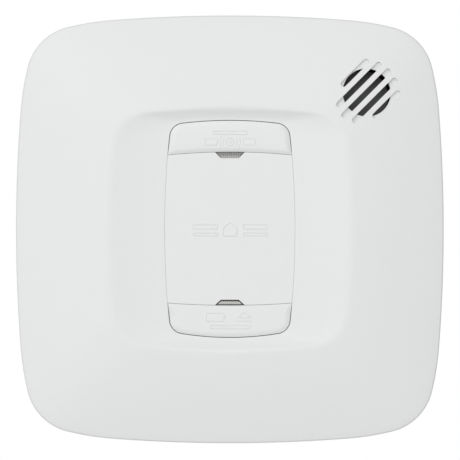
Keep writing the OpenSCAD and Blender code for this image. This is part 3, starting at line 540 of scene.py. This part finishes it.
def lensWithPaintedShade():
    # ribbed light guide: ribs as a wave across; the upper guide darker than the lower one and darkest
    # near the button, where painted shadow of the button darkens it; painted shade as dark bands at the
    # top and bottom of the lower guide
    material, tree, shader = startMaterial("lightGuide")
    points = objectPoints(tree)
    ribs = addNode(tree, "ShaderNodeTexWave", Scale=lens["ribs"], Distortion=0.3)
    ribs.bands_direction = "X"
    tree.links.new(points, ribs.inputs["Vector"])
    split = tree.nodes.new("ShaderNodeSeparateXYZ")
    tree.links.new(points, split.inputs[0])
    upper = addMath(tree, "GREATER_THAN", split.outputs["Z"], 0.0)
    clear = addMix(tree, ribs.outputs["Fac"], (0.42, 0.42, 0.40, 1), (0.60, 0.60, 0.58, 1))
    # painted shadow: the dark colour at the top of the upper guide, where the button's shadow falls
    buttonShadow = addMix(tree, ribs.outputs["Fac"], (0.15, 0.148, 0.14, 1), (0.24, 0.235, 0.225, 1))
    # painted shade: the lower guide turns dark near its top and bottom edges, for the shade in the gaps
    # around it
    fromMiddle = addMath(tree, "ADD", split.outputs["Z"], -lens["lowerMiddle"])
    away = addMath(tree, "ABSOLUTE", fromMiddle)
    past = addMath(tree, "SUBTRACT", away, lens["lowerHalf"])
    gapShade = addMath(tree, "MULTIPLY", past, lens["gapShadeSlope"])
    gapShade.node.use_clamp = True
    clear = addMix(tree, gapShade, clear, (0.10, 0.098, 0.092, 1))
    # the painted button shadow fades into the lit colour further down the upper guide
    below = addMath(tree, "SUBTRACT", lens["buttonShadowEnd"], split.outputs["Z"])
    shade = addMath(tree, "MULTIPLY", below, lens["buttonShadowSlope"])
    shade.node.use_clamp = True
    pale = addMix(tree, ribs.outputs["Fac"], (0.34, 0.33, 0.31, 1), (0.52, 0.50, 0.48, 1))
    buttonShadow = addMix(tree, shade, buttonShadow, pale)
    tree.links.new(addMix(tree, upper, clear, buttonShadow), shader.inputs["Base Color"])
    shader.inputs["Roughness"].default_value = 0.16
    shader.inputs["Coat Weight"].default_value = 0.3
    addBump(tree, shader, ribs.outputs["Fac"], 0.5, 0.0001)
    return material


lightGuide = lensWithPaintedShade()
batteryLow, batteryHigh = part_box("battery_body")
capLow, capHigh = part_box("electrolytic_capacitors")
resistorLow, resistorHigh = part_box("resistors")
coreSteel = laminatedCore()
tapeYellow = windingTape()
boardGreen = solderResist()
batteryWrap = bandedBody(
    "batteryWrap", "Z", batteryLow.z, batteryHigh.z,
    [(0.0, (0.5, 0.5, 0.52)), (0.03, (0.06, 0.075, 0.11)), (0.70, (0.42, 0.43, 0.45)),
     (0.73, (0.14, 0.17, 0.23)), (0.965, (0.5, 0.5, 0.52))], 0.25, 0.4)
capacitorSleeve = bandedBody(
    "capacitorSleeve", "X", capLow.x, capHigh.x,
    [(0.0, (0.36, 0.40, 0.5)), (0.09, (0.02, 0.03, 0.10))], 0.28, 0.3)
resistorCoat = bandedBody(
    "resistorCoat", "X", resistorLow.x, resistorHigh.x,
    [(0.0, (0.55, 0.44, 0.26))] + [
        (0.02 + 0.289 * i + 0.025 * j, c)
        for i in range(4)
        for j, c in enumerate(((0.25, 0.1, 0.04), (0.55, 0.44, 0.26), (0.4, 0.05, 0.03),
                               (0.55, 0.44, 0.26)))
    ], 0.35)


def labelFilm():
    # silver-grey film with a rolled sheen and no print
    material, tree, shader = startMaterial("labelFilm")
    metal = addGroup(tree, drawnGroup, Fineness=1300.0)
    tree.links.new(objectPoints(tree, (1, 1, 0.04)), metal.inputs["Vector"])
    grain = addGroup(tree, grainGroup, Fineness=500.0, Drift=0.06)
    toned = addMix(tree, 1.0, (0.60, 0.61, 0.62, 1), grain.outputs["Tone"], "MULTIPLY")
    tree.links.new(toned, shader.inputs["Base Color"])
    tree.links.new(metal.outputs["Rough"], shader.inputs["Roughness"])
    shader.inputs["Metallic"].default_value = 0.5
    addBump(tree, shader, metal.outputs["Height"], 0.3, 0.00001)
    return material


blankLabel = labelFilm()
discLacquer = mouldedPlastic("discLacquer", (0.008, 0.008, 0.009), 0.7, 800.0, 0.00004, 0.0, 0.02, 0.08)
print("materials ready")


# front cover

cover = {
    "half": coverHalf,
    "ridgeZ": ridgeZ,
    "ridgeHalf": 41.8,
    "dishDrop": 2.5,
    "domeDrop": 7.3,
    "skin": 2.2,
    "edgeZ": 14.0,
    "draft": 2.2,
    "rimRadius": 0.85,
    "creaseReach": 1.15,
    "lipRadius": 0.12,
    "domeRings": 16,
    "dishRings": 14,
}
group = {"half": 22.5, "top": 37.7, "bottom": 37.4, "sideR": 316, "topR": 138, "bottomR": 104,
         "cornerR": 5.0}
faceZ = cover["ridgeZ"] - cover["dishDrop"]
rimZ = cover["ridgeZ"] - cover["domeDrop"]

outer = outerLoop(cover["half"])
ridgeQuarter = bowedQuarter(cover["ridgeHalf"], cover["ridgeHalf"], 280, 280, 13)
ridge = wholeLoop(ridgeQuarter, ridgeQuarter)
groupUp = bowedQuarter(group["half"], group["top"], group["sideR"], group["topR"], group["cornerR"])
groupLow = bowedQuarter(group["half"], group["bottom"], group["sideR"], group["bottomR"],
                        group["cornerR"])
groupLoop = wholeLoop(groupUp, groupLow)


def domeHeight(s):
    return cover["ridgeZ"] - cover["domeDrop"] * (0.655 * s + 0.345 * s * s)


def dishHeight(u):
    return cover["ridgeZ"] - cover["dishDrop"] * (1 - (1 - u) ** 1.35)


def coverRings(c):
    # rings from the rear edge, up the side, over the rim, dome, ridge and dish, into the
    # opening and back along the inside; a ring mixes two loops and takes its height from
    # the dome's or dish's curve, and the ridge is a quadratic blend between both
    r = c["rimRadius"]
    rimIn = insetLoop(outer, 0.708 * r)
    wallTop = rimZ - 0.956 * r
    rings = []
    for turn in np.radians([-90, -45, 0]):
        d = c["draft"] + 0.4 * (1 - math.cos(turn))
        rings.append(atHeight(insetLoop(outer, d), c["edgeZ"] + 0.4 + 0.4 * math.sin(turn)))
    for t in np.linspace(0.06, 1, 12):
        z = c["edgeZ"] + 0.4 + (wallTop - c["edgeZ"] - 0.4) * t
        rings.append(atHeight(insetLoop(outer, c["draft"] * (1 - t) ** 1.6), z))
    for turn in np.radians([72, 54, 36, 26]):
        rings.append(atHeight(insetLoop(outer, r - r * math.sin(turn)), wallTop + r * math.cos(turn)))
    reach = c["creaseReach"]
    sOut = reach / np.linalg.norm(rimIn - ridge, axis=1)
    uIn = reach / np.linalg.norm(groupLoop - ridge, axis=1)
    lip = insetLoop(groupLoop, -c["lipRadius"])

    def onDome(s):
        return atHeight(ridge + (rimIn - ridge) * s[:, None], domeHeight(s))

    def onDish(u):
        return atHeight(ridge + (lip - ridge) * u[:, None], dishHeight(u))

    for t in np.linspace(1, 0, c["domeRings"], endpoint=False):
        rings.append(onDome(sOut + (1 - sOut) * t))
    a, b = onDome(sOut), onDish(uIn)
    crest = atHeight(ridge, c["ridgeZ"] - 0.05)
    for t in np.linspace(0, 1, 9):
        rings.append((1 - t) ** 2 * a + 2 * t * (1 - t) * crest + t * t * b)
    for t in np.linspace(0, 1, c["dishRings"] + 1)[1:]:
        rings.append(onDish(uIn + (1 - uIn) * t))
    for turn in np.radians([30, 60, 90]):
        d = c["lipRadius"] * (1 - math.sin(turn))
        z = faceZ - c["lipRadius"] * (1 - math.cos(turn))
        rings.append(atHeight(insetLoop(groupLoop, -d), z))
    rings.append(atHeight(groupLoop, faceZ - 3))
    rings.append(atHeight(groupLoop, faceZ - 8.5))
    collar = insetLoop(groupLoop, -1.6)
    rings.append(atHeight(collar, faceZ - 8.5))
    rings.append(atHeight(collar, faceZ - c["skin"]))
    rings.append(atHeight(ridge, c["ridgeZ"] - c["skin"]))
    for s in (0.3, 0.6, 0.88):
        rings.append(atHeight(ridge + (rimIn - ridge) * s, domeHeight(s) - c["skin"]))
    rings.append(atHeight(insetLoop(outer, c["skin"] + 0.3), rimZ - c["skin"] - 1.4))
    rings.append(atHeight(insetLoop(outer, c["skin"] + c["draft"]), c["edgeZ"]))
    return np.array(rings)


grille = {"xy": cover["half"] - 26.6, "holeR": 8.4, "grooveR": 11.4, "grooveLow": 12.5,
          "slotW": 2.0, "pitch": 3.87, "depth": 1.45, "layer": 1.1}
ridgeDiag = np.linalg.norm(ridge, axis=1)[: len(ridge) // 4].max()
outerDiag = np.linalg.norm(outer, axis=1).max()
grilleS = (grille["xy"] * math.sqrt(2) - ridgeDiag) / (outerDiag - ridgeDiag)
grilleTilt = math.atan(cover["domeDrop"] * (0.655 + 0.69 * grilleS) / (outerDiag - ridgeDiag))


def onDomeFrame(points):
    # turn by 45 degrees about z, lean outwards by the dome's slope, move to the grille
    c45 = math.sqrt(0.5)
    x, y, z = points[:, 0], points[:, 1], points[:, 2]
    lean, level = math.sin(grilleTilt), math.cos(grilleTilt)
    x, z = x * level + z * lean, z * level - x * lean
    return np.stack([
        grille["xy"] + c45 * (x - y),
        grille["xy"] + c45 * (x + y),
        domeHeight(grilleS) + z,
    ], -1)


def cutterObject(name, parts):
    cutter = bpy.data.objects.new(name, meshFrom(name, parts))
    scene.collection.objects.link(cutter)
    return cutter


def applied(piece):
    # the mesh as its modifiers leave it
    bpy.context.view_layer.update()
    graph = bpy.context.evaluated_depsgraph_get()
    return bpy.data.meshes.new_from_object(piece.evaluated_get(graph))


def easedEdges(mesh, width, sharp=32, segments=2):
    # rounds every edge sharper than the limit by a width in millimetres, faces stay flat
    carrier = bpy.data.objects.new(mesh.name, mesh)
    scene.collection.objects.link(carrier)
    mesh.shade_smooth()
    ease = carrier.modifiers.new("ease", "BEVEL")
    ease.width = width * 0.001
    ease.segments = segments
    ease.limit_method = "ANGLE"
    ease.angle_limit = math.radians(sharp)
    ease.harden_normals = True
    result = applied(carrier)
    bpy.data.objects.remove(carrier)
    return result


rings = coverRings(cover)
skinPart = (rings.reshape(-1, 3), gridFaces(rings.shape[0], rings.shape[1], True, True))
blank = cutterObject("coverBlank", [skinPart])
slots = []
for i in range(-2, 3):
    aside = i * grille["pitch"]
    right = math.sqrt(grille["grooveR"] ** 2 - aside ** 2)
    left = grille["grooveLow"] * math.sqrt(1 - (aside / grille["holeR"]) ** 2)
    loop = stadium(grille["slotW"], left, right) + [0, aside]
    points, faces = prism(loop, -grille["depth"], 2.0)
    slots.append((onDomeFrame(points), faces))
holeLoop = arcPoints([0, 0], grille["holeR"], 0, 360, 72)
holePoints, holeFaces = prism(holeLoop, -6.0, -grille["layer"])
cutters = [cutterObject("slotCutter", slots),
           cutterObject("holeCutter", [(onDomeFrame(holePoints), holeFaces)])]
for cutter in cutters:
    cut = blank.modifiers.new(cutter.name, "BOOLEAN")
    cut.object = cutter
    cut.operation = "DIFFERENCE"
    cut.solver = "EXACT"
coverMesh = applied(blank)
for spare in cutters + [blank]:
    bpy.data.objects.remove(spare)
coverMesh.shade_smooth()
coverMesh.set_sharp_from_angle(angle=math.radians(32))
coverMesh.name = "coverSkin"
addPiece("coverSkin", coverMesh, coverPlastic, "alarm", "cover_plastic", "front_cover")


def fourPlaces(nodeName, headR):
    # centres of the four screws of a node, from its box and their head radius
    x, y = [v * 1000 - headR for v in (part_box(nodeName)[1].x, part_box(nodeName)[1].z)]
    return [(sx * x, sy * y) for sx in (-1, 1) for sy in (-1, 1)]


posts = []
for spot in fourPlaces("housing_screws", 2.8):
    posts.append(revolved([(1.3, 7.9), (3.4, 7.9), (3.6, 8.1), (3.6, 38.6), (1.3, 38.6), (1.3, 7.9)],
                          spot))
for spot in fourPlaces("frame_screws", 2.2):
    posts.append(revolved([(1.05, faceZ - 16.2), (2.4, faceZ - 16.2), (2.6, faceZ - 16),
                           (2.6, faceZ - 1.5), (1.05, faceZ - 1.5), (1.05, faceZ - 16.2)], spot))
collarPoints, collarFaces = revolved([(15, -9), (16.4, -9), (16.4, -1.9), (15, -1.9), (15, -9)],
                                     (0, 0), 72)
posts.append((onDomeFrame(collarPoints), collarFaces))
addPiece("coverPosts", meshFrom("coverPosts", posts), coverPlastic, "alarm", "cover_plastic")
print("front cover built:", len(coverMesh.vertices), "vertices")


# buttons

def sideX(y):
    # half width of the group's bowed side at height y
    return group["half"] - group["sideR"] + np.sqrt(group["sideR"] ** 2 - y * y)


def buttonLoop(quarter, line, bow):
    # the outer chain over the button, then the inner edge back, with as many points
    cornerY = line - sideX(line) ** 2 / bow
    right = quarter[quarter[:, 1] > cornerY + 2.2]
    over = np.concatenate([right, right[-2::-1] * [-1, 1]])
    m = len(over) - 1
    w = sideX(cornerY)
    inner = np.linspace(-(w - 2.5), w - 2.5, m - 1)
    x = np.concatenate([[-w], inner, [w]])
    return np.concatenate([over, np.stack([x, line - x * x / bow], -1)]), m


def buttonPart(loop, m, look, low):
    # rings that fall towards the edge as a power of the distance, each point with its own
    # reach and fall, then a grid across the top between the two chains, slightly crowned
    n = len(loop)
    side = np.arange(n) <= m
    face = insetLoop(loop, np.where(side, look["outerGap"], look["innerGap"]))
    reach = np.where(side, look["outerReach"], look["innerReach"])
    fall = np.where(side, look["outerFall"], look["innerFall"])
    roll = look["roll"]
    rings = [atHeight(face, low)]
    for turn in np.radians([0, 30, 60, 90]):
        z = look["top"] - fall - roll * (1 - math.sin(turn))
        rings.append(atHeight(insetLoop(face, roll * (1 - math.cos(turn))), z))
    for t in np.linspace(0, 1, 9)[1:]:
        z = look["top"] - fall * (1 - t) ** look["power"]
        rings.append(atHeight(insetLoop(face, roll + (reach - roll) * t), z))
    sides = (np.array(rings).reshape(-1, 3), gridFaces(len(rings), n, False, True))
    rim = rings[-1]
    over, under = rim[: m + 1], rim[: m: -1]
    t = np.linspace(0, 1, 15)[:, None, None]
    top = over[None] * (1 - t) + under[None] * t
    top[..., 2] += look["crown"] * 4 * t[..., 0] * (1 - t[..., 0])
    cap = (top.reshape(-1, 3), gridFaces(15, m + 1, False, False))
    base = rings[0]
    over, under = base[: m + 1], base[: m: -1]
    floor = (np.concatenate([over, under]), gridFaces(2, m + 1, False, False))
    return [sides, cap, floor]


def skirtPart(side, low, high, flangeHigh):
    # half of the group's loop as a thin wall with an outward flange at its foot
    loop = groupLoop
    index = np.flatnonzero(loop[:, 1] * side > 29.5)
    section = [(1.75, low - 0.4), (1.75, high), (0.45, high), (0.45, flangeHigh),
               (-1.0, flangeHigh), (-1.0, low - 0.4)]
    rows = np.array([atHeight(insetLoop(loop, d), z)[index] for d, z in section])
    faces = [list(q) for q in gridFaces(len(section), len(index), True, False)]
    k = len(index)
    faces += [[j * k for j in range(len(section))], [j * k + k - 1 for j in range(len(section))][::-1]]
    return rows.reshape(-1, 3), faces


buttonDepths = {"cap": 2.7, "inside": 2.2, "skirt": 9.7, "flange": 8.85, "stemR": 2.0, "ejectStem": 19.5}
testLook = {"outerGap": 0.22, "innerGap": 0.07, "outerReach": 1.6, "outerFall": 0.75,
            "innerReach": 1.5, "innerFall": 0.75, "power": 1.4, "roll": 0.12,
            "top": faceZ + 0.8, "crown": 0.1}
ejectLook = {"outerGap": 0.22, "innerGap": 0.06, "outerReach": 1.6, "outerFall": 0.6,
             "innerReach": 0.3, "innerFall": 0.05, "power": 1.4, "roll": 0.12,
             "top": faceZ + 0.05, "crown": 0.08}
lineY = {"test": 26.7, "eject": 26.2, "testBow": 424, "ejectBow": 584, "buttonY": 32.0}

testLoop, testM = buttonLoop(groupUp, lineY["test"], lineY["testBow"])
testParts = buttonPart(testLoop, testM, testLook, faceZ - buttonDepths["cap"])
skirtZ = [faceZ - buttonDepths[key] for key in ("skirt", "inside", "flange")]
testParts.append(skirtPart(1, *skirtZ))
testParts.append(revolved([(0.01, boardTop + 5.62), (1.8, boardTop + 5.62), (2, boardTop + 5.9),
                           (buttonDepths["stemR"], skirtZ[1]), (0.01, skirtZ[1])],
                          (0, lineY["buttonY"])))
addPiece("testCap", meshFrom("testCap", testParts), coverPlastic, "test_key", "cover_plastic",
         "test_button")

ejectLoop, ejectM = buttonLoop(groupLow, lineY["eject"], lineY["ejectBow"])
ejectLoop = -ejectLoop
ejectParts = buttonPart(ejectLoop, ejectM, ejectLook, faceZ - buttonDepths["cap"])
ejectParts.append(skirtPart(-1, *skirtZ))
stemEnd = faceZ - buttonDepths["ejectStem"]
ejectParts.append(revolved([(0.01, stemEnd), (1.8, stemEnd), (2, faceZ - 19.3),
                            (buttonDepths["stemR"], skirtZ[1]), (0.01, skirtZ[1])],
                           (0, -lineY["buttonY"])))
for x in (-9.5, 9.5):
    ramp = np.array([[x - 1.8, -28.4], [x + 1.8, -28.4], [x + 1.8, -27.0], [x - 1.8, -27.0]])
    ejectParts.append(prism(ramp, faceZ - 8.1, skirtZ[1]))
addPiece("ejectCap", meshFrom("ejectCap", ejectParts), coverPlastic, "eject_key", "cover_plastic",
         "eject_button")


# plain raised signs in place of print: a sounding ring, a battery with an eject arrow, a house
mark = {"width": 0.5, "height": 0.24}


def markPiece(name, lines, body, top):
    parts = [bead(path, mark["width"], mark["height"], top, closed) for path, closed in lines]
    return addPiece(name, meshFrom(name, parts, 60), coverPlastic, body, "cover_plastic")


def straight(x0, y0, x1, y1, count=8):
    t = np.linspace(0, 1, count)[:, None]
    return np.array([[x0, y0]]) * (1 - t) + np.array([[x1, y1]]) * t


def roundedBox(cx, cy, w, h, r):
    return np.concatenate([
        arcPoints([cx + w / 2 - r, cy + h / 2 - r], r, 0, 90, 5),
        arcPoints([cx - w / 2 + r, cy + h / 2 - r], r, 90, 180, 5),
        arcPoints([cx - w / 2 + r, cy - h / 2 + r], r, 180, 270, 5),
        arcPoints([cx + w / 2 - r, cy - h / 2 + r], r, 270, 360, 5),
    ])


def corners(*points):
    # a closed path with four extra points along every side
    p = np.array(points, float)
    t = np.arange(5)[:, None, None] / 5
    path = p[None] * (1 - t) + np.roll(p, -1, 0)[None] * t
    return path.transpose(1, 0, 2).reshape(-1, 2)


soundY = lineY["buttonY"] - 1.7
soundLines = [
    (arcPoints([0, soundY], 1.3, 0, 360, 30), True),
    (arcPoints([0, soundY], 0.35, 0, 360, 14), True),
    (roundedBox(0, soundY + 3.1, 12, 1.1, 0.5), True),
]
for reach in (2.4, 3.5):
    soundLines.append((arcPoints([0, soundY], reach, -32, 32, 16), False))
    soundLines.append((arcPoints([0, soundY], reach, 148, 212, 16), False))
for side in (-1, 1):
    soundLines.append((roundedBox(side * 6.6, soundY, 4.2, 2.2, 0.5), True))
markPiece("testMark", soundLines, "test_key", testLook["top"] + 0.06)

ejectY = 1.8 - lineY["buttonY"]
ejectLines = [
    (roundedBox(-5.2, ejectY, 6.0, 2.8, 0.5), True),
    (straight(-1.6, ejectY - 0.5, -1.6, ejectY + 0.5), False),
    (corners((2.6, ejectY - 0.2), (7.4, ejectY - 0.2), (5.0, ejectY + 1.6)), True),
    (straight(2.5, ejectY - 1.3, 7.5, ejectY - 1.3), False),
    (roundedBox(0, ejectY - 3.4, 14, 1.1, 0.5), True),
]
markPiece("ejectMark", ejectLines, "eject_key", ejectLook["top"] + 0.03)


# battery drawer

drawer = {"gap": 0.03, "edge": 0.12, "wall": 1.5, "trayT": 1.8, "panelT": 2.2, "notchTop": 5.1,
          "notchDeep": 3.07, "upperDrop": 2.1, "lowerRise": 1.9}
drawerZ = -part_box("battery_drawer")[1].y * 1000
batteryBox = [[v * 1000 for v in corner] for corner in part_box("battery_body")]
cheekX = batteryBox[1][0] + 0.35
backZ = faceZ - drawer["panelT"]
batteryY = (batteryBox[0][2], batteryBox[1][2])


def panelLoop():
    # up the right side, along the upper line with its notch, down the left, along the lower
    g = drawer["gap"]
    yTop, yLow = lineY["test"] - g, -lineY["eject"] + g

    def upper(x):
        return yTop - x * x / lineY["testBow"]

    def lower(x):
        return yLow + x * x / lineY["ejectBow"]

    wTop, wLow = sideX(upper(21.5)) - g, sideX(lower(21.5)) - g
    ySide = np.linspace(lower(wLow), upper(wTop), 30)
    right = np.stack([sideX(ySide) - g, ySide], -1)
    x = np.linspace(wTop, drawer["notchTop"], 10)[1:]
    top = np.stack([x, upper(x)], -1)
    deep = np.array([[drawer["notchDeep"], lineY["test"] - drawer["upperDrop"]]])
    x = np.linspace(wLow, drawer["notchTop"], 10)[1:]
    low = np.stack([x, lower(x)], -1)
    deepLow = np.array([[drawer["notchDeep"], drawer["lowerRise"] - lineY["eject"]]])
    mirror = [-1, 1]
    return np.concatenate([
        right, top, deep, deep * mirror, top[::-1] * mirror,
        right[::-1] * mirror, low * mirror, deepLow * mirror, deepLow, low[::-1],
    ])


def box(x, y, z):
    loop = np.array([[x[1], y[0]], [x[1], y[1]], [x[0], y[1]], [x[0], y[0]]], float)
    return prism(loop, z[0], z[1])


def trayLoop():
    y = np.linspace(batteryY[0] - 1, batteryY[1] + 2.3, 16)
    right = np.stack([sideX(y) - 0.5, y], -1)
    notch = np.array([[-5, y[0]], [-5, y[0] + 0.85], [5, y[0] + 0.85], [5, y[0]]])
    return np.concatenate([right, right[::-1] * [-1, 1], notch])


wallZ = (drawerZ + 1, backZ + 0.2)
lowWall = (batteryY[0] - 1.6, batteryY[0] - 0.2)
latchZ = (faceZ - 11.4, faceZ - 9.1)
drawerParts = [
    prism(panelLoop(), backZ, faceZ),
    prism(trayLoop(), drawerZ, drawerZ + drawer["trayT"]),
    box((-cheekX - drawer["wall"], -cheekX), (batteryY[0] - 0.8, batteryY[1] + 0.8), wallZ),
]
for side in (-1, 1):
    edge = sorted([side * (cheekX - 1.8), side * (cheekX + 1.5)])
    drawerParts.append(box(edge, (batteryY[1] + 0.3, batteryY[1] + 1.5), wallZ))
    for near, far in ((5, 7.1), (11.9, cheekX + drawer["wall"])):
        drawerParts.append(box(sorted([side * near, side * far]), lowWall, wallZ))
    for z in ((wallZ[0], latchZ[0]), (latchZ[1], wallZ[1])):
        drawerParts.append(box(sorted([side * 7.1, side * 11.9]), lowWall, z))
drawerMesh = easedEdges(meshFrom("drawerCase", drawerParts), drawer["edge"], 50)
addPiece("drawerCase", drawerMesh, coverPlastic, "drawer", "cover_plastic", "battery_drawer")

houseLines = [(corners((-2.3, -2.2), (2.3, -2.2), (2.3, 0.6), (0, 2.6), (-2.3, 0.6)), True)]
for side in (-1, 1):
    houseLines.append((roundedBox(side * 8.6, 1.0, 8.4, 1.5, 0.4), True))
    houseLines.append((roundedBox(side * 8.6, -1.6, 8.4, 1.0, 0.4), True))
markPiece("panelMark", houseLines, "drawer", faceZ)
print("buttons and drawer built")


# carried-over nodes

def finished(nodeName, width, reshape=None):
    # a merged copy of a CAD node with its flat faces joined and its edges eased
    mesh = nodes[nodeName].data.copy()
    bm = bmesh.new()
    bm.from_mesh(mesh)
    bmesh.ops.remove_doubles(bm, verts=bm.verts, dist=1e-6)
    bmesh.ops.dissolve_limit(bm, angle_limit=math.radians(0.6), verts=bm.verts, edges=bm.edges)
    if reshape:
        for v in bm.verts:
            reshape(v.co)
    bm.to_mesh(mesh)
    bm.free()
    if "custom_normal" in mesh.attributes:
        mesh.attributes.remove(mesh.attributes["custom_normal"])
    return easedEdges(mesh, width)


notchFill = {"depth": 3.8, "stemHalf": 0.0025, "footHalf": 0.0034, "grow": 0.0002}


def filledNotch(co):
    # the upper guide's front grown on its three free sides, close to its notch
    if -co.y * 1000 > faceZ - notchFill["depth"] and abs(co.x) > notchFill["stemHalf"]:
        if abs(co.x) < notchFill["footHalf"]:
            co.z -= notchFill["grow"]
        co.x += math.copysign(notchFill["grow"], co.x)


slotOf = {s["node"]: s["material_slot"] for s in frame["record"]["subparts"]}
bodyOf = {n: b for b, members in frame["record"]["behaviour"]["bodies"].items() for n in members}
finishOf = {
    "cover_plastic": coverPlastic, "housing_plastic": housingPlastic, "dark_plastic": darkPlastic,
    "clear_plastic": lightGuide, "yellow_plastic": plungerPlastic, "inlet_plastic": inletNylon,
    "battery_wrap": batteryWrap, "bright_metal": brightMetal, "spring_steel": springSteel,
    "screw_steel": screwSteel, "core_steel": coreSteel, "disc_lacquer": discLacquer,
    "brass_pins": brassPins, "piezo_ceramic": piezoCeramic, "foam_rubber": foamRubber,
    "board": boardGreen, "winding_tape": tapeYellow, "capacitor_box": capacitorBox,
    "capacitor_sleeve": capacitorSleeve, "varistor_coat": varistorCoat, "relay_case": relayCase,
    "fuse_ceramic": fuseCeramic, "resistor_coat": resistorCoat, "green_led": ledGreen,
    "red_led": ledRed, "label_film": blankLabel,
}
for name, node in nodes.items():
    node.data.materials.clear()
    node.data.materials.append(finishOf[slotOf[name]])

eased = {
    "rear_housing": 0.35, "mounting_plate": 0.35, "inner_frame": 0.25,
    "power_inlet": 0.25, "housing_screws": 0.12, "frame_screws": 0.12, "board_screws": 0.12,
    "transformer_core": 0.25, "transformer_coil": 0.8, "film_capacitor": 0.5, "relay": 0.5,
    "electrolytic_capacitors": 0.35, "varistor": 0.9, "sensor_can": 0.6, "sensor_cap": 0.35,
    "horn_body": 0.5, "horn_gasket": 0.3, "test_switch": 0.25, "switch_plunger": 0.3,
    "microcontroller": 0.2, "rectifier": 0.3, "contact_blocks": 0.3, "battery_snaps": 0.25,
    "drawer_latch": 0.12, "battery_contacts": 0.08, "fuse": 0.3, "resistors": 0.4,
    "upper_light_pipe": 0.06, "lower_light_pipe": 0.08, "circuit_board": 0.15, "battery_body": 0.6,
}
for name, width in eased.items():
    reshape = filledNotch if name == "upper_light_pipe" else None
    addPiece(name + "Finish", finished(name, width, reshape), finishOf[slotOf[name]], bodyOf[name],
             slotOf[name], name)


def coilPiece(name, nodeName, centres, radius, wire, turns):
    # a helix: angle and height grow together along the wire
    low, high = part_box(nodeName)
    z0, z1 = -high.y * 1000 + wire, -low.y * 1000 - wire
    t = np.linspace(0, 1, turns * 36 + 1)
    parts = []
    for cx, cy in centres:
        a = 2 * np.pi * turns * t
        path = np.stack([cx + radius * np.cos(a), cy + radius * np.sin(a), z0 + (z1 - z0) * t], -1)
        parts.append(tubeAlong(path, wire))
    addPiece(name, meshFrom(name, parts, 60), springSteel, bodyOf[nodeName], "spring_steel", nodeName)


coil = {"buttonR": 3.2, "drawerR": 3.0, "wire": 0.35, "drawerX": 16}
coilPiece("testCoil", "test_spring", [(0, lineY["buttonY"])], coil["buttonR"], coil["wire"], 6)
coilPiece("ejectCoil", "eject_spring", [(0, -lineY["buttonY"])], coil["buttonR"], coil["wire"], 6)
coilPiece("drawerCoils", "drawer_springs", [(-coil["drawerX"], 0), (coil["drawerX"], 0)],
          coil["drawerR"], coil["wire"], 3)
print("carried-over nodes finished")


# floor, light and camera

stage = {"floorDrop": 0.8, "floorHalf": 6.0, "keyPower": 27.3, "fillPower": 3.2, "ambient": 0.43,
         "keyPlace": (-0.62, -1.85, 0.78), "fillPlace": (1.4, -1.6, -0.2)}


def floorPiece():
    half = stage["floorHalf"]
    mesh = bpy.data.meshes.new("floor")
    z = -stage["floorDrop"]
    mesh.from_pydata([(-half, -half, z), (half, -half, z), (half, half, z), (-half, half, z)], [],
                     [(0, 1, 2, 3)])
    material, tree, shader = startMaterial("paleFloor")
    noise = addNode(tree, "ShaderNodeTexNoise", Scale=3.0, Detail=4.0)
    tree.links.new(objectPoints(tree), noise.inputs["Vector"])
    tone = addMix(tree, noise.outputs["Fac"], (0.80, 0.80, 0.79, 1), (0.84, 0.84, 0.83, 1))
    tree.links.new(tone, shader.inputs["Base Color"])
    shader.inputs["Roughness"].default_value = 0.7
    mesh.materials.append(material)
    floor = bpy.data.objects.new("floor", mesh)
    scene.collection.objects.link(floor)


def areaLight(name, where, size, power, aim=(0, -0.03, 0)):
    lamp = bpy.data.lights.new(name, "AREA")
    lamp.shape = "DISK"
    lamp.size = size
    lamp.energy = power
    light = bpy.data.objects.new(name, lamp)
    scene.collection.objects.link(light)
    light.location = where
    towards = np.array(aim) - np.array(where)
    yaw = math.atan2(towards[0], towards[1])
    pitch = math.atan2(towards[2], math.hypot(towards[0], towards[1]))
    light.rotation_euler = (math.radians(90) + pitch, 0, -yaw)
    return light


floorPiece()
areaLight("keyLight", stage["keyPlace"], 2.2, stage["keyPower"])
areaLight("fillLight", stage["fillPlace"], 1.6, stage["fillPower"])

world = bpy.data.worlds.new("studio")
scene.world = world
world.use_nodes = True
wTree = world.node_tree
wTree.nodes.clear()
seen = addNode(wTree, "ShaderNodeBackground", Color=(1, 1, 1, 1), Strength=1.0)
cast = addNode(wTree, "ShaderNodeBackground", Color=(0.98, 0.99, 1.0, 1), Strength=stage["ambient"])
pick = wTree.nodes.new("ShaderNodeMixShader")
path = wTree.nodes.new("ShaderNodeLightPath")
out = wTree.nodes.new("ShaderNodeOutputWorld")
wTree.links.new(path.outputs["Is Camera Ray"], pick.inputs[0])
wTree.links.new(cast.outputs[0], pick.inputs[1])
wTree.links.new(seen.outputs[0], pick.inputs[2])
wTree.links.new(pick.outputs[0], out.inputs["Surface"])
scene.view_settings.view_transform = "Standard"
scene.view_settings.look = "None"

view = {"distance": 1.6, "frameWidth": 0.15914, "raise": -0.00022, "side": 0.00005}
camera = bpy.data.objects.new("camera", bpy.data.cameras.new("camera"))
scene.collection.objects.link(camera)
camera.data.sensor_width = 36
camera.data.lens = 36 * view["distance"] / view["frameWidth"]
camera.data.clip_end = 50
camera.location = (view["side"], -rimZ * 0.001 - view["distance"], view["raise"])
camera.rotation_euler = (math.radians(90), 0, 0)
scene.camera = camera
print("stage ready")
